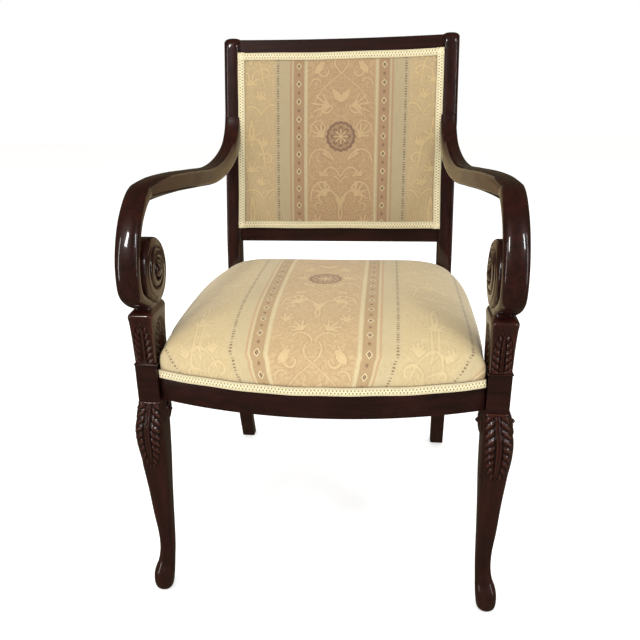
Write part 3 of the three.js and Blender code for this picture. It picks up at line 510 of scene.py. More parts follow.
def braid_finish():
    f = Finish("ivory_braid")
    height = Number(f.tree, f.attribute("braid").outputs["Fac"])
    fleck = f.noise(f.places(), 1.3, 3, 0.7)
    # painted shade: the braid's low parts between its loops and cords are painted dark olive, and the
    # random dark flecks are weighted into those low parts as more painted shade
    colour = f.blend(height.above(0.45, 0.35), rgb(128, 110, 72), rgb(226, 214, 176))
    colour = f.blend((fleck * (height * -0.55 + 1.1)).above(0.5, 0.06) * 0.8, colour, rgb(92, 82, 52))
    return f.surface(colour, fleck * 0.2 + 0.62, f.bump(fleck, 0.25, 0.5), Sheen_Weight=0.2)


def bare_wood():
    f = Finish("bare_beech")
    grain = f.noise(f.places((1, 0.08, 1)), 3, 5, 0.6)
    colour = f.blend(grain, rgb(150, 110, 70), rgb(206, 168, 120))
    return f.surface(colour, grain * 0.2 + 0.5, f.bump(grain, 0.15, 0.4))


def screw_steel():
    f = Finish("zinc_steel")
    wear = f.noise(f.places(), 1.2, 4, 0.6)
    colour = f.blend(wear, rgb(110, 110, 106), rgb(186, 186, 180))
    return f.surface(colour, wear * 0.3 + 0.25, f.bump(wear, 0.05, 0.3), Metallic=1.0)


WOOD = {axis: polished(f"polished_wood_{axis.lower()}", axis) for axis in "XYZ"}
SATIN = polished("satin_wood", "X", gloss=0.2)
# this finish paints highlights on the carving's ridges and shade in its hollows
CARVED = polished("carved_wood", "Z", gloss=0.1, carved=True)
BRAID = braid_finish()
PLAIN = {
    "beech": bare_wood(),
    "steel": screw_steel(),
    "webbing": cloth_like("jute_webbing", rgb(110, 92, 58), rgb(168, 146, 100), 1.6),
    "hessian": cloth_like("hessian_cloth", rgb(126, 98, 60), rgb(184, 152, 102), 1.1),
    "foam": cloth_like("stuffing", rgb(206, 190, 150), rgb(236, 224, 190), 3.0),
    "lining": cloth_like("black_lining", rgb(14, 13, 12), rgb(42, 39, 36), 0.9),
    "frame_wood": WOOD["Z"],
}


# ---------- arms ----------
ARM_REAR = post_y(ARM_JOINT) - 15          # front face of the post at the arm's joint
ARM_RISES = [(0.95, 27), (0.87, 9), (0.77, -3), (0.65, -8), (0.49, -3), (0.28, 4), (0.12, 5), (0.03, 0)]
SHOULDER_TURNS = [(103, 0.6), (118, 0.36), (138, 0.14), (162, 0.02)]
SCROLL_TURNS = [(195, 1.15), (212, 1.05), (232, 0.94), (250, 0.9), (270, 0.81), (300, 0.72)]


def arm_line():
    """Middle line of the arm from the post to the end of its scroll, as y and z."""
    points = [(ARM_REAR + 12, ARM_LEVEL + 76), (ARM_REAR + 2, ARM_LEVEL + 55)]
    points += [(EYE_Y + share * (ARM_REAR - EYE_Y), ARM_LEVEL + rise) for share, rise in ARM_RISES]
    band, level = 1.15 * SCROLL_RADIUS, ARM_LEVEL - EYE_Z
    turns = [(degrees, mix(band, level, share)) for degrees, share in SHOULDER_TURNS]
    turns += [(degrees, share * SCROLL_RADIUS) for degrees, share in SCROLL_TURNS]
    for degrees, radius in turns:
        angle = math.radians(degrees)
        points.append((EYE_Y + radius * math.cos(angle), EYE_Z + radius * math.sin(angle)))
    return spline(points, 200)


def arm_x(y):
    """Middle of the arm at y; it curves in to the post behind the scroll."""
    share = np.clip((y - FRONT - 75) / (ARM_REAR - FRONT - 75), 0, 1)
    return ARM_SPREAD - (ARM_SPREAD - post_x(ARM_JOINT) + 1) * (1 - (1 - share) ** 1.25)


def arm_band():
    line = arm_line()
    rings = []
    for i, (y, z) in enumerate(line):
        share = i / (len(line) - 1)
        before, after = line[max(0, i - 1)], line[min(len(line) - 1, i + 1)]
        tangent = np.array([arm_x(after[0]) - arm_x(before[0]), *(after - before)])
        tangent /= np.linalg.norm(tangent)
        out = np.array([1.0, (arm_x(y - 1) - arm_x(y + 1)) / 2, 0])
        out /= np.linalg.norm(out)
        up = np.cross(tangent, out)
        wide = mix(30, 36, min(1, share / 0.35)) / 2
        deep = (mix(30, 21, smooth(0.56, 0.76, share)) - 3 * max(0, 1 - share / 0.15)) / 2
        power = mix(4.0, 2.5, smooth(0.5, 0.66, share))
        c, s = rounded(56, power)
        centre = np.array([arm_x(y), y, z])
        rings.append(centre + c[:, None] * out * wide + s[:, None] * up * deep)
    return skin(rings)


def spiral(radius, degrees, outer, turns, eye):
    """Share across the band of a spiral, 0 and 1 in its groove, that winds in from outer to eye."""
    pace = math.log(outer / eye) / turns
    winding = np.log(outer / np.maximum(radius, 0.5)) / pace - (degrees - 270) / 360
    return winding - np.floor(winding)


def volute_height(radius, degrees, outer=51.0, turns=2.1, eye=12.0, depth=5.5):
    """Relief of a carved scroll: a rounded band between deep grooves, with a button at the eye."""
    share = spiral(radius, degrees, outer, turns, eye)
    width = radius * (1 - math.exp(-math.log(outer / eye) / turns))
    groove = np.minimum(share, 1 - share) * width
    band = np.clip((groove - 0.8) / (0.16 * width + 1.2), 0, 1)
    band = np.sqrt(1 - (1 - band) ** 2)
    lift = mix(4.5, 0.0, np.clip(radius / outer, 0, 1))
    button = np.sqrt(np.clip(1 - (radius / (eye * 0.88)) ** 2, 0, 1)) * 6 + 1
    bed = smooth(eye * 0.92, eye * 1.12, radius)
    return np.where(radius < eye * 0.88, button, (band * depth - depth * 0.9) * bed + lift * bed)


def arm_roll():
    """The scroll at the arm's front: two carved faces joined by a rounded rim."""
    count = 180
    degrees = 270 + 360 * np.arange(count) / count
    angles = np.radians(degrees)
    rim = SCROLL_RADIUS - 1.2 - 6 * (degrees - 270) / 360
    rim = mix(rim, SCROLL_RADIUS - 1.2, smooth(600, 630, degrees))
    inner, outer = ARM_SPREAD - 22, ARM_SPREAD + 17
    edge = 7.0
    rings = []

    def circle(x, radius):
        rings.append(np.stack([
            x + np.zeros(count), EYE_Y + radius * np.cos(angles), EYE_Z + radius * np.sin(angles),
        ], axis=1))

    def face(x, outward, shares):
        for share in shares:
            radius = (rim - edge) * share
            height = volute_height(radius, degrees, outer=SCROLL_RADIUS - 5) * smooth(1.0, 0.95, share)
            circle(x + outward * height, radius)

    face(inner, -1, np.linspace(0.02, 1, 84))
    for turn in np.linspace(math.pi / 16, math.pi / 2, 8):
        circle(inner + edge * (1 - math.cos(turn)), rim - edge * (1 - math.sin(turn)))
    for turn in np.linspace(0, math.pi / 2, 9):
        circle(outer - edge * (1 - math.sin(turn)), rim - edge * (1 - math.cos(turn)))
    face(outer, 1, np.linspace(1, 0.02, 84))
    return skin(rings)


# ---------- carving ----------
def leaf_relief(u, v, lobes):
    """Height from 0 to 1 of an acanthus leaf; u runs across it from -1 to 1, v from its foot to its tip."""
    off = np.abs(u)
    width = np.sqrt(np.clip(1 - np.clip(v, 0, 1) ** 3.2, 0, 1)) * 0.95
    share = off / np.maximum(width, 0.05)
    lobe = np.sin(math.pi * (lobes * v - 1.1 * share ** 1.4)) ** 2
    edge = width * (0.86 + 0.14 * lobe)
    inside = smooth(0.0, 0.1, edge - off) * smooth(-0.03, 0.03, v) * smooth(1.0, 0.97, v)
    stem = 0.95 * np.exp(-((off - 0.09) / 0.055) ** 2) + 0.5 * np.exp(-(off / 0.04) ** 2)
    furrow = np.exp(-((share - 0.3) / 0.07) ** 2)
    frond = (0.15 + 0.85 * lobe) * smooth(0.18, 0.42, share) * (1.05 - 0.35 * share)
    return inside * (np.maximum(frond, stem * smooth(1.0, 0.75, v)) - 0.35 * furrow)


def carve(rings, relief):
    """Moves ring points out from each ring's middle by relief(points, unit outward direction)."""
    carved = []
    for ring in rings:
        middle = ring.mean(0)
        along_ring = np.roll(ring, -1, 0) - np.roll(ring, 1, 0)
        out = np.stack([along_ring[:, 1], -along_ring[:, 0], np.zeros(len(ring))], axis=1)
        out /= np.maximum(np.linalg.norm(out, axis=1)[:, None], 1e-9)
        if np.sum(out * (ring - middle)) < 0:
            out = -out
        carved.append(ring + out * relief(ring, out)[:, None])
    return np.array(carved)


def stations_at(table, count):
    table = np.array(table, float)
    places = np.linspace(table[0, 0], table[-1, 0], count)
    ends = np.vstack([2 * table[0] - table[1], table, 2 * table[-1] - table[-2]])
    made = []
    for place in places:
        k = int(np.clip(np.searchsorted(table[:, 0], place, "right") - 1, 0, len(table) - 2))
        p0, p1, p2, p3 = ends[k], ends[k + 1], ends[k + 2], ends[k + 3]
        t = (place - p1[0]) / (p2[0] - p1[0])
        m1 = (p2 - p0) / (p2[0] - p0[0]) * (p2[0] - p1[0])
        m2 = (p3 - p1) / (p3[0] - p1[0]) * (p2[0] - p1[0])
        row = ((2 * t ** 3 - 3 * t ** 2 + 1) * p1 + (t ** 3 - 2 * t ** 2 + t) * m1
               + (3 * t ** 2 - 2 * t ** 3) * p2 + (t ** 3 - t ** 2) * m2)
        row[0] = place
        made.append(row)
    return made


# ---------- front legs ----------
LEG_STATIONS = [                           # share of the height, outer, inner, front, back, squareness
    (0, 2, -20, -6, 18, 2.2), (0.02, 5.5, -24, -12, 20, 2.3), (0.06, 6.5, -26.5, -16, 23, 2.4),
    (0.105, 5, -28, -13, 25, 2.5), (0.15, -1, -28.5, -3, 26, 2.6), (0.21, -4.5, -29.5, 3, 29, 2.8),
    (0.29, -4.5, -30.5, 5, 31, 3), (0.41, -1, -32, 2, 34, 3.2), (0.55, 1.5, -34, -3, 37, 3.4),
    (0.69, 5.5, -36.5, -9, 42, 3.4), (0.8, 9.5, -37.5, -14, 46, 3.6), (0.88, 9, -37.5, -14, 49, 4),
    (0.94, 4, -37.5, -7, 51, 5), (1, 0, -37, -1, 52, 7),
]
KNEE = RAIL_BOTTOM - 1
LEAF_TIP, LEAF_FOOT = 248.0, 356.0


def knee_relief(ring, out):
    z = ring[0, 2]
    v = (LEAF_FOOT - z) / (LEAF_FOOT - LEAF_TIP)
    lift = np.zeros(len(ring))
    if -0.1 < v < 1.1:
        centre = (ring[:, 0].max() + ring[:, 0].min()) / 2
        half = (ring[:, 0].max() - ring[:, 0].min()) / 2
        front = smooth(0.1, 0.5, -out[:, 1])
        depth = 3.6 * leaf_relief((ring[:, 0] - centre) / (half * 0.98), np.full(len(ring), v), 9)
        lift += front * (depth - 1.6 * smooth(1.02, 0.9, v) * smooth(-0.05, 0.03, v))
    centre_y, centre_z = FRONT + 27, KNEE - 23
    radius = np.hypot(ring[:, 1] - centre_y, z - centre_z)
    degrees = np.degrees(np.arctan2(z - centre_z, ring[:, 1] - centre_y)) % 360
    sideways = smooth(0.55, 0.9, np.abs(out[:, 0]))
    scroll = volute_height(radius, degrees, outer=22.0, turns=1.9, eye=5.0, depth=3.2) + 1.4
    lift += sideways * scroll * smooth(23, 21.5, radius)
    return lift


def front_leg():
    rings = [level_ring(0, HALF_WIDTH - 17.5, HALF_WIDTH - 0.5, FRONT - 3, FRONT + 15, 2.2, 144)]
    for share, outer, inner, front, back, power in stations_at(LEG_STATIONS, 210)[1:]:
        rings.append(level_ring(share * KNEE, HALF_WIDTH + inner, HALF_WIDTH + outer, FRONT + front,
                                FRONT + back, power, 144))
    return skin(carve(rings, knee_relief))


def front_block():
    """The square block above the knee, with the heel that carries the side rail."""
    square = soft_box((BLOCK_INNER, FRONT, KNEE - 3), (HALF_WIDTH, BLOCK_REAR, BLOCK_TOP), 1.6)
    heel = soft_box((BLOCK_INNER - 21, BLOCK_REAR - 19, KNEE - 2),
                    (BLOCK_INNER + 3, BLOCK_REAR - 0.4, RAIL_TOP - 0.3), 1)
    return join(square, heel)


# ---------- arm supports ----------
def support_relief(ring, out):
    z = ring[0, 2]
    v = (z - BLOCK_TOP - 2) / (SUPPORT_TOP - BLOCK_TOP - 12)
    centre = (BLOCK_INNER + HALF_WIDTH) / 2
    middle_y = FRONT + 34
    lift = np.zeros(len(ring))
    if -0.05 < v < 1.05:
        front = smooth(0.5, 0.9, -out[:, 1])
        flank = smooth(0.6, 0.95, np.abs(out[:, 0]))
        height = np.full(len(ring), v)
        bed = 1.3 * smooth(1.03, 0.97, v) * smooth(-0.04, 0.03, v)
        for carved, off in ((front, (ring[:, 0] - centre) / 15), (flank, (ring[:, 1] - middle_y) / 24)):
            arch = smooth(1.04, 0.98, np.abs(off) / np.sqrt(max(1.001 - max(v, 0) ** 3.2, 0.001)))
            lift += carved * (2.8 * leaf_relief(off, height, 6) - bed * arch)
    return lift


def arm_support():
    base, top = BLOCK_TOP + 0.3, SUPPORT_TOP
    stations = [                           # height, growth inward and outward, front, rear, squareness
        (base, -2.6, -2.6, 1.5, -3, 9), (base + 1.2, -1.6, -1.8, 0.6, -2.2, 9),
        (base + 0.5 * (top - BLOCK_TOP), -0.9, -0.6, 0.4, -0.6, 9), (top - 8, 0.2, 1, -0.6, 2.4, 9),
        (top - 3, 0.6, 1.8, -1, 3.4, 9), (top + 1.5, 0.4, 1.6, -0.8, 4, 9), (top + 4.5, -1, -1, 1.5, 4, 8),
        (top + 8.5, -3.5, -5.5, 9, 2, 6), (top + 16, -4.5, -8, 12, 0, 6),
    ]
    rings = []
    for z, inner, outer, front, rear, power in stations_at(stations, 110):
        rings.append(level_ring(z, BLOCK_INNER - inner, HALF_WIDTH + outer, FRONT + front,
                                FRONT + 68 + rear, power, 144))
    return skin(carve(rings, support_relief))


# ---------- rear legs and rails ----------
def rear_leg():
    rings = []
    plain_top = ARM_LEVEL + 48
    for z in np.r_[0, 1.2, np.linspace(6, BACK_HEIGHT - 3, 96)]:
        fuller = smooth(plain_top - 6, plain_top + 18, z)
        width = mix(29, 32, fuller) / 2
        deep = mix(30, 26, max(0, 1 - z / RAIL_BOTTOM)) / 2 + 3 * fuller
        power = mix(9, 3.4, smooth(plain_top - 8, plain_top + 40, z))
        sole = 1.2 if z == 0 else 0
        x, y = post_x(z), post_y(z)
        rings.append(level_ring(z, x - width + sole, x + width - sole, y - deep + sole, y + deep - sole,
                                power, 56))
    x, y = post_x(BACK_HEIGHT), post_y(BACK_HEIGHT)
    for k in range(1, 8):
        turn = math.pi / 2 * k / 7.4
        lift = math.sin(turn) / math.sin(math.pi / 2 * 7 / 7.4)
        z = BACK_HEIGHT - 3 + (POST_TOP - BACK_HEIGHT + 3) * lift
        half = max(16 * math.cos(turn) ** 0.8, 2)
        rings.append(level_ring(z, x - half, x + half, y - half - 1.5, y + half + 1.5, 2.8, 56))
    return skin(rings)


def front_rail():
    """Bowed rail with softened edges and a rebate for the cover along its top."""
    low, show, top = RAIL_BOTTOM, GIMP_BASE + 1, RAIL_TOP
    section = [(26, low + 2), (24, low), (2, low), (0.6, low + 0.6), (0, low + 2), (0, show - 2),
               (0.5, show - 0.6), (1.9, show), (1.9, top - 1), (3, top), (24, top), (26, top - 2)]
    rings = []
    reach = BLOCK_INNER - 0.3
    for x in np.linspace(-reach, reach, 90):
        rings.append([(x, bow_y(x) + inset, z) for inset, z in section])
    return skin(rings)


def tilted(points):
    """Turns a point of the upright back about the foot of the raked stretch."""
    points = np.asarray(points, float)
    y, z = points[:, 1] - PIVOT_Y, points[:, 2] - LOWER_RAIL_BOTTOM
    c, s = math.cos(RAKE), math.sin(RAKE)
    return np.stack([points[:, 0], PIVOT_Y + y * c + z * s, LOWER_RAIL_BOTTOM - y * s + z * c], axis=1)


def raked(z):
    return LOWER_RAIL_BOTTOM + (z - LOWER_RAIL_BOTTOM) / math.cos(RAKE)


PANEL_FRONT = PIVOT_Y - 10
PANEL_TOP = raked(BACK_HEIGHT) - 25
PANEL_BOTTOM = LOWER_RAIL_BOTTOM + 26
PANEL_HALF = (post_x(LOWER_RAIL_BOTTOM) - 11.5, post_x(BACK_HEIGHT) - 12)      # at its foot and its head
PANEL_INSET = 5.0                          # the covers' grids stop this far inside the panel's edges
LIP = PIVOT_Y - 16                         # front of the padded panel's edge
REBATE = 5.0
BACK_CENTRE = (5.0, raked(706))            # the medallion's middle on the back, before the rake


def back_rail(bottom, top, dip, rebate_low, rebate_high):
    """A straight rail of the back with soft edges, cut back where the padded panel lies on it."""
    rings = []
    front, rear, soft = PANEL_FRONT, PANEL_FRONT + 20, 2.2

    def step(z):
        return REBATE if rebate_low < z < rebate_high else 0.0

    for x in np.linspace(-post_x(ARM_JOINT) + 12, post_x(ARM_JOINT) - 12, 60):
        lower = dip * (1 - (x / 200) ** 2)
        ledge = rebate_low if rebate_low > bottom else rebate_high
        heights = [bottom, bottom + soft, ledge - 0.2, ledge + 0.2, top - soft - lower, top - lower]
        ring = [(x, rear - soft, heights[0]), (x, front + soft + step(bottom + 1), heights[0])]
        for z in heights[1:-1]:
            ring.append((x, front + step(z), z))
        ring += [(x, front + soft + step(top - 1), heights[-1]), (x, rear - soft, heights[-1]),
                 (x, rear, heights[-2]), (x, rear, heights[1])]
        rings.append(tilted(ring))
    return skin(rings)


def build_rails():
    top = raked(BACK_HEIGHT)
    crest = back_rail(top - 48, top, 2.5, 0, PANEL_TOP - 2)
    lower = back_rail(LOWER_RAIL_BOTTOM, LOWER_RAIL_BOTTOM + 40, 0, PANEL_BOTTOM, 2000)
    for node, body, finish in (("crest_rail", crest, WOOD["X"]), ("lower_back_rail", lower, WOOD["X"]),
                               ("front_seat_rail", front_rail(), SATIN)):
        piece(f"{node}_shaped", *body, finish, "frame_wood", node, sharp=35)


# ---------- the woven figure ----------
CELL = 0.75                                # millimetres of cloth per cell of the figure
DROP = 361.0                               # the figure repeats after this length


def stroke(card, x, y, heading, length, bend_start, bend_end, width):
    """Adds a curving, tapering stroke; bends are degrees per millimetre, positive to the left."""
    count = int(length / 0.7)
    heading = math.radians(heading)
    for i in range(count):
        share = i / count
        half = width * (0.35 + 0.65 * math.sin(math.pi * min(1, share * 0.75 + 0.12))) / 2 + 0.35
        reach = int(half * 1.7 / CELL) + 1
        cx, cy = x / CELL, (y % DROP) / CELL
        xs = np.arange(int(cx) - reach, int(cx) + reach + 1)
        ys = np.arange(int(cy) - reach, int(cy) + reach + 1)
        gap = np.hypot((xs[:, None] - cx), (ys[None, :] - cy)) * CELL
        value = np.clip(1.35 - gap / half * 0.85, 0, 1)
        inside = (xs >= 0) & (xs < card.shape[0])
        rows, columns = xs[inside][:, None], (ys % card.shape[1])[None, :]
        card[rows, columns] = np.maximum(card[rows, columns], value[inside])
        heading += math.radians(mix(bend_start, bend_end, share)) * 0.7
        x += 0.7 * math.cos(heading)
        y += 0.7 * math.sin(heading)


def fan(card, x, y, first, last, count, length, bend, width=2.4):
    """Strokes spread between two headings, longest in the middle, like the lobes of a leaf."""
    for k in range(count):
        share = k / (count - 1)
        reach = length * (0.72 + 0.28 * math.sin(math.pi * share))
        curl = bend * (0.5 - share)
        stroke(card, x, y, mix(first, last, share), reach, curl * 2, curl * 5, width)


FIELD_STROKES = [
    (0, -76, 60, 54, 0.5, -9.5, 2.6), (14, -44, 78, 30, -3.5, 1.0, 2.4), (17, -42, 42, 22, -2, 2, 2.2),
    (0, -86, 58, 20, 0, -6, 2.0), (3, -132, 86, 82, -0.6, -5.6, 2.8), (0, -158, 58, 34, 2.6, 1.0, 2.2),
    (58, -122, 92, 82, 0, 6.4, 2.4), (60, -56, 84, 62, 0.8, 5.0, 2.2), (16, 62, -92, 52, 1.2, 11.5, 2.6),
    (36, 142, -52, 58, -0.4, -8.5, 2.4), (0, 116, -40, 80, 0.3, -1.3, 1.6), (0, 116, 40, 40, 0.5, 5.0, 2.0),
    (60, 10, 100, 46, 1.2, 6.5, 2.0), (2, 150, 70, 42, -1.0, -6.0, 2.2), (44, -140, 20, 30, 6, 11, 2.0),
    (22, -104, 30, 26, 1.5, 7.0, 2.0), (60, 92, 96, 34, 2.0, 8.5, 2.0),
]
FIELD_FANS = [
    (28, -112, 95, 20, 5, 30, 1.4), (34, -2, 88, 22, 5, 30, 1.0), (0, 64, 90, 20, 5, 30, -1.6),
    (20, 56, 42, -24, 5, 40, 0.8), (50, 116, 165, 95, 4, 28, -1.4), (0, -128, 90, 42, 3, 22, -1.2),
    (18, 172, 100, 10, 5, 26, 1.2), (46, -168, 130, 60, 4, 22, 1.0), (40, -74, 160, 100, 3, 16, 1.2),
]
GROUND_STROKES = [
    (176, -166, 118, 120, -1.4, 1.1, 2.8), (152, -118, 62, 62, 0.0, -9.0, 2.8),
    (150, -116, 120, 52, 0.0, 9.5, 2.6),
    (146, -60, 70, 92, 1.2, -4.4, 2.8), (168, -40, 150, 56, -1.0, 10.0, 2.6),
    (176, -20, 120, 96, -1.6, 1.2, 2.6),
    (154, 40, 60, 60, 0.0, -9.0, 2.6), (152, 44, 118, 50, 0.0, 9.5, 2.6), (148, 96, 72, 86, 1.2, -4.6, 2.6),
    (170, 118, 150, 52, -1.0, 10.0, 2.6), (176, 132, 120, 60, -1.6, 1.0, 2.6),
]
GROUND_FANS = [
    (176, -176, 92, 150, 4, 24, -1.4), (158, -92, 150, 60, 5, 20, 1.2), (176, -66, 95, 160, 4, 24, -1.2),
    (150, -18, 130, 40, 5, 20, 1.0), (176, -6, 92, 155, 4, 26, -1.4), (158, 68, 150, 60, 5, 20, 1.2),
    (176, 96, 92, 155, 4, 24, -1.4), (150, 140, 130, 50, 5, 20, 1.0),
]


def figure_card():
    """The figure of half a stripe repeat, from the centre line to the mirror line."""
    card = np.zeros((int(REPEAT / CELL) + 2, int(DROP / CELL)))
    for row in FIELD_STROKES + GROUND_STROKES:
        stroke(card, *row)
    for x, y, first, last, count, length, bend in FIELD_FANS + GROUND_FANS:
        fan(card, x, y, first, last, count, length, bend)
    across_cells = np.arange(card.shape[0])[:, None] * CELL
    along_cells = (np.arange(card.shape[1]) * CELL)[None, :]
    near = np.minimum(along_cells, DROP - along_cells)
    return card * (np.hypot(across_cells, near) > 31)


def add_figure(pad, card):
    count = len(pad.data.vertices)
    coords = np.zeros(count * 3, np.float32)
    pad.data.attributes["cloth"].data.foreach_get("vector", coords)
    u, v = coords.reshape(-1, 3)[:, 0], coords.reshape(-1, 3)[:, 1]
    folded = np.abs((u / (2 * REPEAT) + 0.5) % 1 - 0.5) * 2 * REPEAT
    x, y = folded / CELL, (v % DROP) / CELL
    i, j = np.floor(x).astype(int), np.floor(y).astype(int)
    fx, fy = x - i, y - j
    i1, j0, j1 = np.minimum(i + 1, card.shape[0] - 1), j % card.shape[1], (j + 1) % card.shape[1]
    value = mix(mix(card[i, j0], card[i1, j0], fx), mix(card[i, j1], card[i1, j1], fx), fy)
    pad.data.attributes.new("figure", "FLOAT", "POINT").data.foreach_set("value", value.astype(np.float32))


# ---------- padding ----------
def puff(pad, held, pressure, cap):
    """Swells a pad with the cloth solver; held points stay, and no point moves further than cap."""
    group = pad.vertex_groups.new(name="held")
    group.add([int(i) for i in held], 1.0, "REPLACE")
    rest = np.zeros(len(pad.data.vertices) * 3)
    pad.data.vertices.foreach_get("co", rest)
    cloth = pad.modifiers.new("Cloth", "CLOTH")
    settings = cloth.settings
    settings.quality = 6
    settings.vertex_group_mass = "held"
    settings.use_pressure = True
    settings.uniform_pressure_force = pressure
    settings.effector_weights.gravity = 0
    cloth.point_cache.frame_start, cloth.point_cache.frame_end = 1, 20
    scene = bpy.context.scene
    for step in range(1, 21):
        scene.frame_set(step)
    solved = pad.evaluated_get(bpy.context.evaluated_depsgraph_get())
    moved = np.zeros_like(rest)
    solved.data.vertices.foreach_get("co", moved)
    shift = (moved - rest).reshape(-1, 3)
    length = np.linalg.norm(shift, axis=1)[:, None]
    limit = cap * MM
    shift *= limit * np.tanh(length / limit) / np.maximum(length, 1e-9)
    pad.modifiers.remove(cloth)
    scene.frame_set(1)
    pad.data.vertices.foreach_set("co", (rest.reshape(-1, 3) + shift).ravel())
    pad.data.update()


def subdivide(pad, levels):
    """Applies a subdivision surface, which carries the cloth coordinates with it."""
    surface = pad.modifiers.new("Fine", "SUBSURF")
    surface.levels = surface.render_levels = levels
    solved = pad.evaluated_get(bpy.context.evaluated_depsgraph_get())
    fine = bpy.data.meshes.new_from_object(solved)
    pad.modifiers.remove(surface)
    pad.data = fine
    fine.shade_smooth()


def loop_of(field):
    """The values round the border of a grid, in order."""
    return np.concatenate([field[0], field[1:, -1], field[-1, -2::-1], field[-2:0:-1, 0]])


def pad_mesh(grid, walls, coords, wall_coords):
    """A closed pad: a grid for its face, rows of wall points round it, and a flat underside.

    Returns its points, faces, cloth coordinates, the grid's border and the grid's point count."""
    rows, columns = grid.shape[:2]
    index = np.arange(rows * columns).reshape(rows, columns)
    faces = [(a, a + 1, a + columns + 1, a + columns) for a in index[:-1, :-1].ravel()]
    loop = loop_of(index).tolist()
    middle = walls[-1].mean(0)
    rings = [*walls, mix(middle, walls[-1], 0.86), mix(middle, walls[-1], 0.45)]
    cloth = [coords.reshape(-1, 2), *wall_coords, wall_coords[-1], wall_coords[-1], np.zeros((1, 2))]
    start, previous = rows * columns, loop
    for _ in rings:
        ring = list(range(start, start + len(loop)))
        faces += zip(previous, ring, onward(ring), onward(previous))
        start, previous = start + len(loop), ring
    faces += [(a, start, b) for a, b in zip(previous, onward(previous))]
    cloth = np.concatenate(cloth)
    cloth = np.c_[cloth, np.zeros(len(cloth))]
    return np.concatenate([grid.reshape(-1, 3), *rings, middle[None]]), faces, cloth, loop, rows * columns


SEAT_CENTRE = (-5.0, FRONT + 208)          # plan position of the medallion on the seat
CREASE = 8.0                               # the top panel's seam is set in this far from the side
BETWEEN_POSTS = 196.0                      # half width of the pad between the rear posts


def seat_limits(y):
    """Half width of the pad at y, narrowed between the arm supports and between the rear posts."""
    free = side_x(y)
    ahead = mix(BLOCK_INNER - 0.8, free, smooth(BLOCK_REAR - 4, BLOCK_REAR + 14, y))
    posts = REAR_LEG_Y - 15
    return mix(ahead, BETWEEN_POSTS, smooth(posts - 16, posts + 2, y))


def seat_plan(columns, rows, inset):
    a = np.linspace(-1, 1, columns)[None, :]
    b = np.linspace(0, 1, rows)[:, None]
    x = a * (BLOCK_INNER - inset)
    for _ in range(8):
        y = mix(bow_y(np.clip(x, -BLOCK_INNER, BLOCK_INNER)) + inset, SEAT_REAR - inset, b)
        x = a * (seat_limits(y) - inset)
    return x, y + 0 * x


MOUND = np.array([(0, 0), (6, 6), (16, 15), (36, 27), (66, 37), (104, 44), (150, 48), (210, 50)], float)


def seat_height(x, y):
    """Height of the padding by its distance in from the nearest edges."""
    beside = seat_limits(np.minimum(y, REAR_LEG_Y - 40)) - np.abs(x)
    before = y - bow_y(np.clip(x, -BLOCK_INNER, BLOCK_INNER))
    behind = (SEAT_REAR - y) * 1.25
    edges = np.stack([np.maximum(e, 0) for e in (beside, before, behind)])
    nearest = -14 * np.log(np.sum(np.exp(-edges / 14), axis=0))
    return np.interp(np.maximum(nearest + 3, 0), MOUND[:, 0], MOUND[:, 1])


def build_seat(card):
    columns, rows = 64, 58
    x, y = seat_plan(columns, rows, CREASE)
    edge = RAIL_TOP + 31
    z = edge + np.minimum(seat_height(x, y), SEAT_TOP - edge - 2)
    grid = np.stack([x, y, z], axis=2)
    coords = np.stack([x - SEAT_CENTRE[0], y - SEAT_CENTRE[1]], axis=2)
    beyond = loop_of(np.stack(seat_plan(columns, rows, -10), axis=2))
    walls, wall_coords = [], []
    previous, uv = loop_of(grid), loop_of(coords)
    for inset, level in ((6.8, edge - 1.2), (3.2, edge - 6), (0.8, edge - 13), (0.2, edge - 21),
                         (0.6, GIMP_BASE + 11), (1.2, GIMP_BASE + 3)):
        x, y = seat_plan(columns, rows, inset)
        ring = loop_of(np.stack([x, y, np.full_like(x, level)], axis=2))
        outward = beyond - ring[:, :2]
        outward /= np.linalg.norm(outward, axis=1)[:, None]
        uv = uv + outward * np.linalg.norm(ring - previous, axis=1)[:, None]
        walls.append(ring)
        wall_coords.append(uv)
        previous = ring
    points, faces, cloth, loop, count = pad_mesh(grid, walls, coords, wall_coords)
    pad = piece("seat_pad", points, faces, damask("seat_damask", SEAT_TINTS), "seat_fabric",
                "seat_cover", "seat_foam", sharp=0, coords=cloth)
    ring = len(loop)
    held = [*range(count, count + ring), *range(count + 2 * ring, len(points)), *loop]
    puff(pad, held, 4.0, 9)
    subdivide(pad, 2)
    add_figure(pad, card)


def panel_edges(z):
    """Half width of the padded panel at height z of the upright back."""
    return mix(*PANEL_HALF, (z - PANEL_BOTTOM) / (PANEL_TOP - PANEL_BOTTOM))


def panel_grid(columns, rows):
    """Shares across and up the panel, the half width there, and the grid's heights."""
    a = np.linspace(-1, 1, columns)[None, :]
    b = np.linspace(0, 1, rows)[:, None]
    z = mix(PANEL_BOTTOM + PANEL_INSET, PANEL_TOP - PANEL_INSET, b) + 0 * a
    return a, b, panel_edges(z) - PANEL_INSET, z


def back_cloth(x, z):
    return np.stack([x - BACK_CENTRE[0], z - BACK_CENTRE[1]], axis=2)


